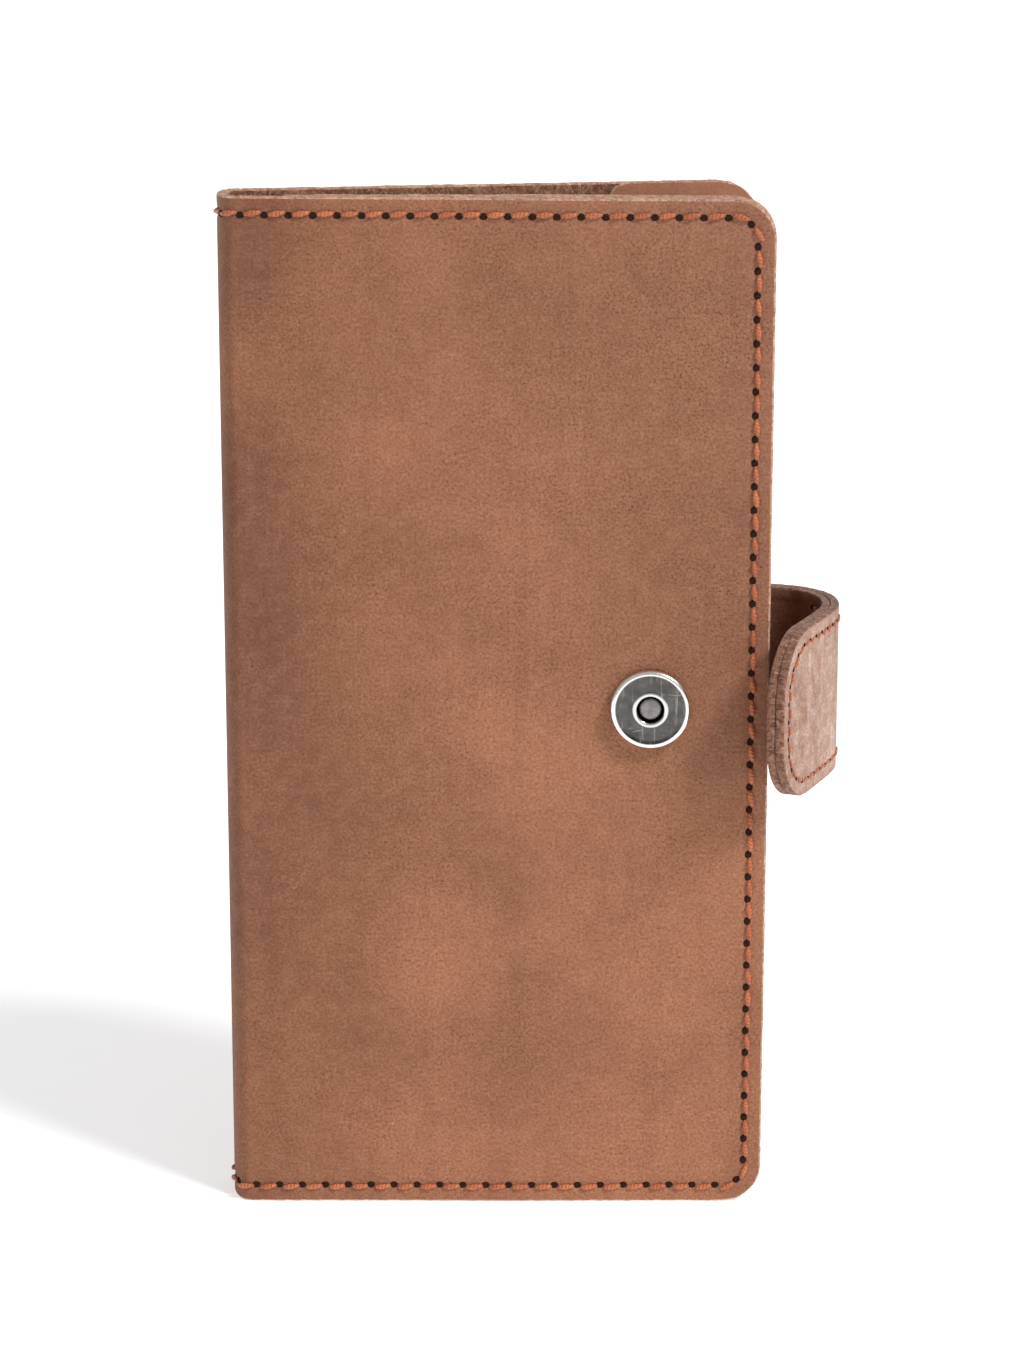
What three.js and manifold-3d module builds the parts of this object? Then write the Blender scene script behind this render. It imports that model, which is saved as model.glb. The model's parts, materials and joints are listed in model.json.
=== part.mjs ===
// A tall bifold long wallet in thick leather, standing half open on its short end.
// The covers and the spine are one folded hide, cut here at its two creases so that it can fold.
// Plan view: X runs from the spine to the free edges, -Y is the front, Z is up. Millimetres.
import * as THREE from 'three';
import { mergeVertices } from 'three/addons/utils/BufferGeometryUtils.js';
import Module from 'manifold-3d';

const wasm = await Module();
wasm.setup();

// Covers, with angles in degrees from the X axis.
const walletHeight = 182;
const coverWidth = 92;
const coverLeather = 1.8;
const cornerRadius = 7;
const spineDepth = 12.5;
const spineBulge = 3;
const creaseGap = 0.45;
const backAngle = 5.5;
const frontAngle = 5.25;
const frontTwist = 1.5;

// Inner panels: thickness, the gap between layers, and where each starts along the cover.
const layerGap = 0.3;
const panelLeather = 0.9;
const cardLeather = 0.7;
const panelStart = 8;
const cardMouths = [13, 29, 45];
const pocket = { start: 12, sleeve: 65, stepLow: 138, stepHigh: 168, cornerRadius: 3.3 };

// Strap: a lining and an outer layer. It leaves the back cover, curls round tightly, then gently,
// and ends in a straight tip that holds the male half of the snap.
const strapWidth = 30;
const strapMiddle = 93;
const liningLeather = 1.3;
const outerLeather = 1.5;
const strapRoot = 62;
const strapEdge = 92.6;
const curl = { radius: 10, turn: 90 };
const sweep = { radius: 18, turn: 30 };
const tipLength = 26;
const tipRadius = 9;
const snapToEnd = 13.5;
const hingeGap = 0.3;

// Magnetic snap.
const snapPlace = 71.3;
const cap = {
  radius: 7, height: 2, wall: 0.35, rim: 0.4, roof: 0.45, holeRadius: 2.4, holeFoot: 0.5, lipRadius: 2.8,
};
const magnet = { radius: 6.3, bore: 3.2, height: 1.0, lift: 0.25 };
const rivet = { headRadius: 1.9, headHeight: 0.5, shankRadius: 1.2, holeRadius: 1.6, reach: 2.91 };
const washer = { radius: 4.5, bore: 1.6, height: 0.5 };
const washerRecess = 5;
const stud = {
  plateRadius: 7, plateHeight: 0.6, plateRim: 0.2, radius: 1.7, height: 1.2, tipRim: 0.3, shank: 1.105,
};
const snapGap = 0.3;

// Threads, as plain raised lines.
const seamMargin = 3.2;
const threadWidth = 0.9;
const threadHeight = 0.5;
const strapMargin = 2.6;

const radians = THREE.MathUtils.degToRad;
const frontCrease = new THREE.Vector2(0, -spineDepth / 2);
const backCrease = new THREE.Vector2(0, spineDepth / 2);

const leather = { color: 0xa8745a, roughness: 0.72, metalness: 0 };
const innerHide = { color: 0xb9866b, roughness: 0.7, metalness: 0 };
const strapHide = { color: 0xb08a7c, roughness: 0.8, metalness: 0 };
const nickel = { color: 0xb9bab8, roughness: 0.18, metalness: 1 };
const steel = { color: 0x8b8c8c, roughness: 0.4, metalness: 1 };
const magnetBlack = { color: 0x37383a, roughness: 0.6, metalness: 0.6 };
const waxedThread = { color: 0xc0622f, roughness: 0.6, metalness: 0 };

const wallet = new THREE.Group();

function addPiece(name, geometry, finish) {
  const mesh = new THREE.Mesh(geometry, new THREE.MeshStandardMaterial(finish));
  mesh.name = name;
  wallet.add(mesh);
  return mesh;
}

// A place on the back cover: u from its crease, z up, depth inwards from its outer face.
function onBack(u, z, depth) {
  const a = radians(backAngle);
  const x = backCrease.x + u * Math.cos(a) + depth * Math.sin(a);
  const y = backCrease.y + u * Math.sin(a) - depth * Math.cos(a);
  return new THREE.Vector3(x, y, z);
}

// The same on the front cover, which opens a little further at its top than at its foot.
function onFront(u, z, depth) {
  const a = radians(frontAngle + frontTwist * (2 * z / walletHeight - 1));
  const x = frontCrease.x + u * Math.cos(a) + depth * Math.sin(a);
  const y = frontCrease.y - u * Math.sin(a) + depth * Math.cos(a);
  return new THREE.Vector3(x, y, z);
}

// The strap's inner face starts past the back cover's edge, on its outside.
const loopStart = new THREE.Vector2(strapEdge, -layerGap);
const curlLength = curl.radius * radians(curl.turn);
const loopLength = curlLength + sweep.radius * radians(sweep.turn);

// A place on the strap: t along its inner face from the cover's edge, offset outwards.
function onStrap(t, z, offset) {
  const turned = radians(curl.turn);
  const first = Math.min(t, curlLength) / curl.radius;
  const second = turned + (Math.min(t, loopLength) - curlLength) / sweep.radius;
  const heading = t > curlLength ? second : first;
  const place = new THREE.Vector2(Math.sin(first), 1 - Math.cos(first)).multiplyScalar(curl.radius);
  if (t > curlLength) {
    place.x += sweep.radius * (Math.sin(second) - Math.sin(turned));
    place.y += sweep.radius * (Math.cos(turned) - Math.cos(second));
  }
  const beyond = Math.max(t - loopLength, 0);
  place.x += beyond * Math.cos(heading) + loopStart.x;
  place.y += beyond * Math.sin(heading) + loopStart.y;
  return onBack(place.x + offset * Math.sin(heading), z, place.y - offset * Math.cos(heading));
}

// A place on the tip: t along its inner face from where it turns straight.
function onTip(t, z, offset) {
  return onStrap(loopLength + t, z, offset);
}

// Heights from low to high with extra ones inside each rounded corner.
function heights(low, high, radius, steps) {
  const list = [];
  const cornerSteps = radius > 0 ? 6 : 0;
  for (let i = 0; i < cornerSteps; i += 1) {
    list.push(low + radius * (1 - Math.cos(i / cornerSteps * Math.PI / 2)));
  }
  const start = low + radius;
  const end = high - radius;
  for (let i = 0; i <= steps; i += 1) list.push(start + (end - start) * i / steps);
  for (let i = cornerSteps - 1; i >= 0; i -= 1) {
    list.push(high - radius * (1 - Math.cos(i / cornerSteps * Math.PI / 2)));
  }
  return list;
}

// How far a rounded corner pulls the edge in at height z.
function cornerInset(z, low, high, radius) {
  const near = Math.min(z - low, high - z);
  if (radius === 0 || near >= radius) return 0;
  return radius - Math.sqrt(Math.max(radius * radius - (radius - near) ** 2, 0));
}

// A closed plate between two depths. rows hold { z, from, to }; place turns (u, z, depth) into a point.
function plate(place, rows, depthA, depthB, columns) {
  const positions = [];
  const indices = [];
  const perRow = columns + 1;
  for (const depth of [depthA, depthB]) {
    for (const row of rows) {
      for (let c = 0; c <= columns; c += 1) {
        const u = row.from + (row.to - row.from) * c / columns;
        positions.push(...place(u, row.z, depth).toArray());
      }
    }
  }
  const side = rows.length * perRow;
  const quad = (a, b, c, d) => indices.push(a, b, c, a, c, d);
  for (let r = 0; r < rows.length - 1; r += 1) {
    for (let c = 0; c < columns; c += 1) {
      const a = r * perRow + c;
      quad(a, a + 1, a + 1 + perRow, a + perRow);
      quad(side + a, side + a + perRow, side + a + 1 + perRow, side + a + 1);
    }
    const left = r * perRow;
    const right = left + columns;
    quad(left, left + perRow, side + left + perRow, side + left);
    quad(right, side + right, side + right + perRow, right + perRow);
  }
  for (let c = 0; c < columns; c += 1) {
    const top = (rows.length - 1) * perRow + c;
    quad(c, side + c, side + c + 1, c + 1);
    quad(top, top + 1, side + top + 1, side + top);
  }
  return facingOut(closedGeometry(positions, indices));
}

function closedGeometry(positions, indices) {
  const geometry = new THREE.BufferGeometry();
  geometry.setAttribute('position', new THREE.Float32BufferAttribute(positions, 3));
  geometry.setIndex(indices);
  return geometry;
}

// Six times the signed volume tells whether the faces point out; if not, each is turned round.
function facingOut(geometry) {
  const p = geometry.attributes.position;
  const index = geometry.index.array;
  const corner = (i) => new THREE.Vector3().fromBufferAttribute(p, index[i]);
  let volume = 0;
  for (let i = 0; i < index.length; i += 3) {
    volume += corner(i).dot(corner(i + 1).cross(corner(i + 2)));
  }
  if (volume < 0) {
    for (let i = 0; i < index.length; i += 3) {
      [index[i], index[i + 1]] = [index[i + 1], index[i]];
    }
  }
  return geometry;
}

// Rows of a panel with its free corners rounded.
function panelRows(from, to, low, high, radius, steps) {
  const rows = [];
  for (const z of heights(low, high, radius, steps)) {
    rows.push({ z, from, to: to - cornerInset(z, low, high, radius) });
  }
  return rows;
}

// A raised line along a path in (u, z), with mitred corners.
function threadLine(place, path, depthA, depthB) {
  const points = path.map(([u, z]) => new THREE.Vector2(u, z));
  const rails = points.map((point, i) => {
    const before = point.clone().sub(points[Math.max(i - 1, 0)]).normalize();
    const after = points[Math.min(i + 1, points.length - 1)].clone().sub(point).normalize();
    const along = before.add(after).normalize();
    const bend = i > 0 && i < points.length - 1
      ? Math.abs(along.dot(point.clone().sub(points[i - 1]).normalize())) : 1;
    const across = new THREE.Vector2(-along.y, along.x).multiplyScalar(threadWidth / 2 / bend);
    return [point.clone().sub(across), point.clone().add(across)];
  });
  const positions = [];
  const indices = [];
  for (const [left, right] of rails) {
    for (const [rail, depth] of [[left, depthA], [right, depthA], [right, depthB], [left, depthB]]) {
      positions.push(...place(rail.x, rail.y, depth).toArray());
    }
  }
  for (let i = 0; i < rails.length - 1; i += 1) {
    for (let k = 0; k < 4; k += 1) {
      const a = 4 * i + k;
      const b = 4 * i + (k + 1) % 4;
      indices.push(a, b, b + 4, a, b + 4, a + 4);
    }
  }
  const last = 4 * (rails.length - 1);
  indices.push(0, 2, 1, 0, 3, 2, last, last + 1, last + 2, last, last + 2, last + 3);
  return facingOut(closedGeometry(positions, indices));
}

// The line from (from, low) out to the free edge, down the edge and back, with its corners rounded.
function seamPath(from, edge, low, high, radius) {
  const path = [];
  const straightSteps = 8;
  for (let i = 0; i < straightSteps; i += 1) {
    path.push([from + (edge - radius - from) * i / straightSteps, high]);
  }
  const cornerSteps = 5;
  for (let i = 0; i <= cornerSteps; i += 1) {
    const angle = i / cornerSteps * Math.PI / 2;
    path.push([edge - radius + radius * Math.sin(angle), high - radius + radius * Math.cos(angle)]);
  }
  for (let i = 1; i < straightSteps; i += 1) {
    path.push([edge, high - radius + (low + radius - high + radius) * i / straightSteps]);
  }
  for (let i = 0; i <= cornerSteps; i += 1) {
    const angle = i / cornerSteps * Math.PI / 2;
    path.push([edge - radius + radius * Math.cos(angle), low + radius - radius * Math.sin(angle)]);
  }
  for (let i = 1; i <= straightSteps; i += 1) {
    path.push([edge - radius + (from - edge + radius) * i / straightSteps, low]);
  }
  return path;
}

function toManifold(geometry) {
  const plain = geometry.clone();
  plain.deleteAttribute('normal');
  plain.deleteAttribute('uv');
  const merged = mergeVertices(plain, 1e-4);
  return new wasm.Manifold(new wasm.Mesh({
    numProp: 3,
    vertProperties: new Float32Array(merged.attributes.position.array),
    triVerts: new Uint32Array(merged.index.array),
  }));
}

function fromManifold(solid) {
  const mesh = solid.getMesh();
  return closedGeometry(Array.from(mesh.vertProperties), Array.from(mesh.triVerts));
}

// Cuts a round hole along the given place's depth direction.
function drilled(geometry, place, u, z, radius) {
  const reach = 12;
  const tool = new THREE.CylinderGeometry(radius, radius, 2 * reach, 24);
  stand(tool, place, u, z, 0);
  return fromManifold(toManifold(geometry).subtract(toManifold(tool)));
}

// Turns a shape made about +Y so that +Y points outwards from the surface, with its foot at the depth.
function stand(geometry, place, u, z, depth) {
  const foot = place(u, z, depth);
  const outward = place(u, z, -1).sub(place(u, z, 0)).normalize();
  const turn = new THREE.Quaternion().setFromUnitVectors(new THREE.Vector3(0, 1, 0), outward);
  geometry.applyQuaternion(turn);
  geometry.translate(foot.x, foot.y, foot.z);
  return geometry;
}

function lathe(profile) {
  const points = profile.map(([r, h]) => new THREE.Vector2(r, h));
  const turned = new THREE.LatheGeometry(points, 32);
  turned.deleteAttribute('normal');
  turned.deleteAttribute('uv');
  return facingOut(mergeVertices(turned, 1e-4));
}

function addCovers() {
  const steps = 12;
  const rows = panelRows(creaseGap, coverWidth, 0, walletHeight, cornerRadius, steps);
  const front = plate(onFront, rows, 0, coverLeather, 2);
  const frontCut = drilled(front, onFront, snapPlace, strapMiddle, rivet.holeRadius);
  addPiece('cover_front', frontCut, leather);
  addPiece('cover_back', plate(onBack, rows, 0, coverLeather, 2), leather);

  const arcSteps = 14;
  const outline = [];
  const ring = (across, deep, from, to) => {
    for (let i = 0; i <= arcSteps; i += 1) {
      const t = from + (to - from) * i / arcSteps;
      outline.push(new THREE.Vector2(-creaseGap / 2 - across * Math.cos(t), deep * Math.sin(t)));
    }
  };
  const halfDepth = spineDepth / 2;
  ring(spineBulge, halfDepth, -Math.PI / 2, Math.PI / 2);
  ring(spineBulge - coverLeather, halfDepth - coverLeather, Math.PI / 2, -Math.PI / 2);
  const spine = new THREE.ExtrudeGeometry(new THREE.Shape(outline), {
    depth: walletHeight, bevelEnabled: false, steps: 1,
  });
  addPiece('cover_spine', spine, leather);
}

function addInnerPanels() {
  const steps = 12;
  let depth = coverLeather + layerGap;
  const linerRows = panelRows(panelStart, coverWidth, 0, walletHeight, cornerRadius, steps);
  const liner = plate(onFront, linerRows, depth, depth + panelLeather, 2);
  addPiece('front_inner_panel', drilled(liner, onFront, snapPlace, strapMiddle, washerRecess), innerHide);
  depth += panelLeather;
  cardMouths.forEach((mouth, i) => {
    depth += layerGap;
    const rows = panelRows(mouth, coverWidth, 0, walletHeight, cornerRadius, steps);
    addPiece(`card_panel_${i + 1}`, plate(onFront, rows, depth, depth + cardLeather, 2), innerHide);
    depth += cardLeather;
  });

  const pocketRows = [];
  const stepHeights = [];
  const curveSteps = 10;
  for (let i = 1; i < curveSteps; i += 1) {
    stepHeights.push(pocket.stepLow + (pocket.stepHigh - pocket.stepLow) * i / curveSteps);
  }
  const edgeHeights = heights(0, walletHeight, cornerRadius, 2)
    .filter((z) => z < pocket.stepLow || z > pocket.stepHigh);
  const all = [...edgeHeights, pocket.stepLow, pocket.stepHigh, ...stepHeights].sort((a, b) => a - b);
  for (const z of all) {
    const share = THREE.MathUtils.smoothstep(z, pocket.stepLow, pocket.stepHigh);
    const mouth = pocket.start + (pocket.sleeve - pocket.start) * share;
    const round = cornerInset(z, -walletHeight, walletHeight, pocket.cornerRadius);
    const to = coverWidth - cornerInset(z, 0, walletHeight, cornerRadius);
    pocketRows.push({ z, from: mouth + round, to });
  }
  const start = coverLeather + layerGap;
  const panel = plate(onBack, pocketRows, start, start + panelLeather, 2);
  addPiece('back_pocket_panel', panel, innerHide);
}

// Both layers of one strap stretch; place takes offsets outwards from the strap's inner face.
function addStrapStretch(name, place, rows, columns, cutLining) {
  const outerStart = liningLeather + layerGap;
  let lining = plate(place, rows, 0, liningLeather, columns);
  if (cutLining) lining = cutLining(lining);
  addPiece(`${name}_lining`, lining, strapHide);
  const outer = plate(place, rows, outerStart, outerStart + outerLeather, columns);
  addPiece(`${name}_outer`, outer, strapHide);
}

function addStrap() {
  const low = strapMiddle - strapWidth / 2;
  const high = strapMiddle + strapWidth / 2;
  const onOutside = (u, z, offset) => onBack(u, z, -layerGap - offset);
  const rootRadius = 4;
  const rootRows = heights(low, high, rootRadius, 1).map((z) => ({
    z, from: strapRoot + cornerInset(z, low, high, rootRadius), to: strapEdge - hingeGap,
  }));
  addStrapStretch('strap_root', onOutside, rootRows, 1);
  const loopRows = panelRows(hingeGap, loopLength - hingeGap, low, high, 0, 1);
  addStrapStretch('strap_loop', onStrap, loopRows, 16);
  const tipRows = panelRows(hingeGap, tipLength, low, high, tipRadius, 1);
  const cut = (lining) => drilled(lining, onTip, tipLength - snapToEnd, strapMiddle, washerRecess);
  addStrapStretch('strap_tip', onTip, tipRows, 1, cut);
}

function addSnap() {
  const onCover = (shape, depth) => stand(shape, onFront, snapPlace, strapMiddle, depth);
  const capInside = cap.height - cap.roof;
  const capShape = lathe([
    [cap.radius, 0], [cap.radius, cap.height - cap.rim], [cap.radius - cap.rim, cap.height],
    [cap.lipRadius, cap.height], [cap.holeRadius, cap.height - cap.rim / 2],
    [cap.holeRadius, cap.holeFoot], [cap.holeRadius + cap.wall, cap.holeFoot],
    [cap.holeRadius + cap.wall, capInside], [cap.radius - cap.wall, capInside],
    [cap.radius - cap.wall, 0], [cap.radius, 0],
  ]);
  addPiece('snap_female_cap', onCover(capShape, -snapGap), nickel);
  const ring = (bore, radius, height) => lathe([
    [bore, 0], [radius, 0], [radius, height], [bore, height], [bore, 0],
  ]);
  const magnetShape = ring(magnet.bore, magnet.radius, magnet.height);
  addPiece('snap_female_magnet', onCover(magnetShape, -snapGap - magnet.lift), magnetBlack);
  const rivetShape = lathe([
    [0, -rivet.reach], [rivet.shankRadius, -rivet.reach], [rivet.shankRadius, 0],
    [rivet.headRadius, 0], [rivet.headRadius, rivet.headHeight * 0.6],
    [rivet.headRadius * 0.7, rivet.headHeight], [0, rivet.headHeight],
  ]);
  addPiece('snap_female_rivet', onCover(rivetShape, -snapGap), steel);
  const washerShape = () => ring(washer.bore, washer.radius, washer.height);
  const washerFoot = coverLeather + layerGap + washer.height;
  addPiece('snap_female_washer', onCover(washerShape(), washerFoot), steel);

  // The male half faces inwards, against the strap's outward offset.
  const onLining = (shape, offset) => stand(shape, onTip, tipLength - snapToEnd, strapMiddle, offset);
  const plateTop = stud.plateHeight;
  const studTop = plateTop + stud.height;
  const studShape = lathe([
    [0, -stud.shank], [rivet.shankRadius, -stud.shank], [rivet.shankRadius, 0],
    [stud.plateRadius, 0], [stud.plateRadius, plateTop - stud.plateRim],
    [stud.plateRadius - stud.plateRim, plateTop], [stud.radius, plateTop],
    [stud.radius, studTop - stud.tipRim], [stud.radius - stud.tipRim, studTop], [0, studTop],
  ]);
  addPiece('snap_male_stud', onLining(studShape, -snapGap), nickel);
  addPiece('snap_male_washer', onLining(washerShape(), liningLeather), steel);
}

function addThreads() {
  const near = -layerGap;
  const far = -layerGap - threadHeight;
  const low = seamMargin;
  const high = walletHeight - seamMargin;
  const edge = coverWidth - seamMargin;
  const seamRadius = cornerRadius - seamMargin;
  const path = seamPath(4, edge, low, high, seamRadius);
  addPiece('thread_front', threadLine(onFront, path, near, far), waxedThread);
  // On the back the line stops above and below the strap, which hides it there.
  const strapTop = strapMiddle + strapWidth / 2 + 1;
  const strapFoot = strapMiddle - strapWidth / 2 - 1;
  const upper = [...path.filter(([, z]) => z > strapTop), [edge, strapTop]];
  const lower = [[edge, strapFoot], ...path.filter(([, z]) => z < strapFoot)];
  addPiece('thread_back_upper', threadLine(onBack, upper, near, far), waxedThread);
  addPiece('thread_back_lower', threadLine(onBack, lower, near, far), waxedThread);

  // Over the spine the line follows its bulge, well short of both creases.
  const onSpine = (t, z, depth) => {
    const angle = radians(t);
    const x = -creaseGap / 2 - (spineBulge - depth) * Math.cos(angle);
    return new THREE.Vector3(x, (spineDepth / 2 - depth) * Math.sin(angle), z);
  };
  const wrapLimit = 60;
  const overSpine = (z) => {
    const line = [];
    for (let i = 0; i <= 10; i += 1) line.push([-wrapLimit + 2 * wrapLimit * i / 10, z]);
    return line;
  };
  // Its path runs in degrees, so its width is laid in z only.
  addPiece('thread_spine_top', threadLine(onSpine, overSpine(high), near, far), waxedThread);
  addPiece('thread_spine_foot', threadLine(onSpine, overSpine(low), near, far), waxedThread);

  const strapLow = strapMiddle - strapWidth / 2 + strapMargin;
  const strapHigh = strapMiddle + strapWidth / 2 - strapMargin;
  const strapFace = 2 * layerGap + liningLeather + outerLeather;
  const onOutside = (u, z, depth) => onBack(u, z, depth - strapFace);
  const rootPath = seamPath(-(strapEdge - 1), -(strapRoot + strapMargin), strapLow, strapHigh, 1.5);
  const rootPlace = (u, z, depth) => onOutside(-u, z, depth);
  addPiece('thread_strap_root', threadLine(rootPlace, rootPath, near, far), waxedThread);

  const loopOuter = (t, z, depth) => onStrap(t, z, strapFace - layerGap - depth);
  const tipOuter = (t, z, depth) => onTip(t, z, strapFace - layerGap - depth);
  const loopLine = (z) => {
    const line = [];
    for (let i = 0; i <= 14; i += 1) line.push([1 + (loopLength - 2) * i / 14, z]);
    return line;
  };
  addPiece('thread_loop_top', threadLine(loopOuter, loopLine(strapHigh), near, far), waxedThread);
  addPiece('thread_loop_foot', threadLine(loopOuter, loopLine(strapLow), near, far), waxedThread);
  const tipEnd = tipLength - strapMargin;
  const tipPath = seamPath(1, tipEnd, strapLow, strapHigh, tipRadius - strapMargin);
  addPiece('thread_tip', threadLine(tipOuter, tipPath, near, far), waxedThread);
}

addCovers();
addInnerPanels();
addStrap();
addSnap();
addThreads();

// The origin goes to the middle of the whole wallet's footprint, on the surface it stands on.
const bounds = new THREE.Box3().setFromObject(wallet);
const middle = bounds.getCenter(new THREE.Vector3());
wallet.position.set(-middle.x, -middle.y, -bounds.min.z);

export default wallet;
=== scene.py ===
# A tall bifold wallet in thick tan leather, standing half open on its short end, its strap unfastened.
# Settings are in millimetres and degrees unless a note says otherwise; every mesh is in metres.
import json
import math

import bpy
import numpy as np
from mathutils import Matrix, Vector
from mathutils.kdtree import KDTree


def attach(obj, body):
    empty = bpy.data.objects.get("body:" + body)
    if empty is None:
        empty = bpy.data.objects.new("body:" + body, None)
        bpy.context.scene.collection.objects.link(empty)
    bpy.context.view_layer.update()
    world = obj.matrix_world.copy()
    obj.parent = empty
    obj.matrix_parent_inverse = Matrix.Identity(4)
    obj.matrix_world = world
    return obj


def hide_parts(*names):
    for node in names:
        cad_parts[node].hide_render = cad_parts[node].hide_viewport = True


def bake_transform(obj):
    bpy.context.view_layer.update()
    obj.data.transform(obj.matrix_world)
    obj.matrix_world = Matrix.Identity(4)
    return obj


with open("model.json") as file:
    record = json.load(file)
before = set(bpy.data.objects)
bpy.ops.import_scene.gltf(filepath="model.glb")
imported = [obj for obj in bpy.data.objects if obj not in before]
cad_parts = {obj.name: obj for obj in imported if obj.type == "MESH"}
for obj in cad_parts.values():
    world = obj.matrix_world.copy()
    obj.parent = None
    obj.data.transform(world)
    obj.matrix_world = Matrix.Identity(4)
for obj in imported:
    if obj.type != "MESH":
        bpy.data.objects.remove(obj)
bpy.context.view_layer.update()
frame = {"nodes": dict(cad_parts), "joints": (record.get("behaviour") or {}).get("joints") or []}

mm = 0.001
jointPlace = {joint["name"]: Vector(joint["pos_m"]) for joint in frame["joints"]}
backCrease = jointPlace["cover_close"]
frontCrease = jointPlace["cover_open"]
print("wallet: frame loaded,", len(frame["nodes"]), "nodes")


# A cover's u runs from its crease to the free edge, z up, and depth inwards from the outer face.
cover = {
    "height": 182.0,
    "width": 92.0,
    "leather": 1.8,
    "corner": 7.0,
    "spineDepth": 12.5,
    "spineBulge": 3.0,
    "creaseGap": 0.45,
    "spineArc": 7.5,
    "backAngle": 5.5,
    "frontAngle": 5.25,
    "frontTwist": 1.5,
    "edgeRound": 0.4,
    "wave": 0.22,
    "suedeNap": 0.16,
    "acrossStep": 1.1,
    "upStep": 1.0,
    "fineStep": 0.4,
    "fineMargin": 6.0,
    "foldReach": 12.0,
    "foldSteps": 25,
    "foldEase": 2.2,
    "wear": 2.5,
    "roughEdge": 0.16,
    "blendUpTo": 4.0,
    "spineHeldTo": 55.0,
}
cover["start"] = -cover["spineArc"] - cover["creaseGap"] / 2


def points(x, y, z):
    return np.stack(np.broadcast_arrays(x, y, z), axis=-1)


def pointAt(place, u, z=0.0, depth=0.0):
    return Vector(place(np.float64(u), np.float64(z), depth))


def onBack(u, z, depth):
    turn = math.radians(cover["backAngle"])
    x = u * math.cos(turn) + depth * math.sin(turn)
    y = u * math.sin(turn) - depth * math.cos(turn)
    return points(backCrease.x + mm * x, backCrease.y + mm * y, mm * z)


def onFront(u, z, depth):
    turn = np.radians(cover["frontAngle"] + cover["frontTwist"] * (2 * z / cover["height"] - 1))
    x = u * np.cos(turn) + depth * np.sin(turn)
    y = -u * np.sin(turn) + depth * np.cos(turn)
    return points(frontCrease.x + mm * x, frontCrease.y + mm * y, mm * z)


def onSpine(angle, z, depth):
    middle = (frontCrease + backCrease) / 2
    turn = np.radians(angle)
    x = -cover["creaseGap"] / 2 - (cover["spineBulge"] - depth) * np.cos(turn)
    y = (cover["spineDepth"] / 2 - depth) * np.sin(turn)
    return points(middle.x + mm * x, middle.y + mm * y, mm * z)


# side is -1 for the front half of the hide and 1 for the back half; u below 0 runs over the spine.
def hideHalf(side, onCover):
    def place(u, z, depth):
        share = np.clip((-u - cover["creaseGap"] / 2) / cover["spineArc"], 0, 1)
        overSpine = onSpine(side * 90 * (1 - share), z, depth)
        overCover = onCover(np.maximum(u, 0), z, depth)
        ease = np.clip((u + cover["foldEase"]) / (2 * cover["foldEase"]), 0, 1)
        ease = (ease * ease * (3 - 2 * ease))[..., None]
        straight = np.stack([mm * np.minimum(u, 0), 0 * u, 0 * u], axis=-1)
        return overSpine * (1 - ease) + (overCover + straight * ease) * ease
    return place


onFrontHide = hideHalf(-1, onFront)
onBackHide = hideHalf(1, onBack)

strap = {
    "width": 30.0,
    "middle": 93.0,
    "lining": 1.45,
    "thick": 3.1,
    "gap": 0.3,
    "root": 62.0,
    "edge": 92.6,
    "curlRadius": 10.0,  # of the inner face, first tight, then gentle
    "curlTurn": 90.0,
    "sweepRadius": 18.0,
    "sweepTurn": 30.0,
    "tip": 26.0,
    "tipCorner": 11.5,
    "rootCorner": 4.0,
    "snapToEnd": 13.5,
    "edgeRound": 0.3,
    "lean": 1.1,
    "bulge": 0.5,
    "bulgeRadius": 7.5,
    "seamMargin": 2.6,
    "seamStart": 12.0,
    "alongStep": 0.6,
    "upStep": 0.7,
    "fineStep": 0.25,
    "wear": 2.2,
    "roughEdge": 0.08,
    "layerGap": 0.08,
    "rootHeldTo": -4.6,
    "blendReach": 4.0,
}
strap["curl"] = strap["curlRadius"] * math.radians(strap["curlTurn"])
strap["loop"] = strap["curl"] + strap["sweepRadius"] * math.radians(strap["sweepTurn"])


# t runs along the strap's inner face from the back cover's edge; below 0 it lies on that cover.
def onStrap(t, z, offset):
    turned = math.radians(strap["curlTurn"])
    first = np.clip(t, 0, strap["curl"]) / strap["curlRadius"]
    second = turned + (np.clip(t, strap["curl"], strap["loop"]) - strap["curl"]) / strap["sweepRadius"]
    heading = np.where(t > strap["curl"], second, first)
    u = strap["curlRadius"] * np.sin(first) + strap["sweepRadius"] * (np.sin(second) - math.sin(turned))
    d = strap["curlRadius"] * (1 - np.cos(first)) + strap["sweepRadius"] * (math.cos(turned) - np.cos(second))
    beyond = np.maximum(t - strap["loop"], 0)
    offset = offset - strap["lean"] * (beyond / strap["tip"]) ** 2
    u = u + beyond * np.cos(heading) + strap["edge"] + np.minimum(t, 0)
    d = d + beyond * np.sin(heading) - strap["gap"]
    return onBack(u + offset * np.sin(heading), z, d - offset * np.cos(heading))


def cornerInset(z, low, high, radius):
    near = np.minimum(z - low, high - z)
    inside = np.clip(radius - near, 0, radius)
    return radius - np.sqrt(np.maximum(radius * radius - inside * inside, 0))


# joined is true where the start side meets another piece and keeps its full length.
def plainOutline(start, end, low, high, corner, joined=False):
    def outline(a, b, inset):
        z = low + inset + b * (high - low - 2 * inset)
        first = start + (0 if joined else inset)
        last = end - inset - cornerInset(z, low + inset, high - inset, np.maximum(corner - inset, 0.01))
        return first + a * (last - first), z
    return outline


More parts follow.
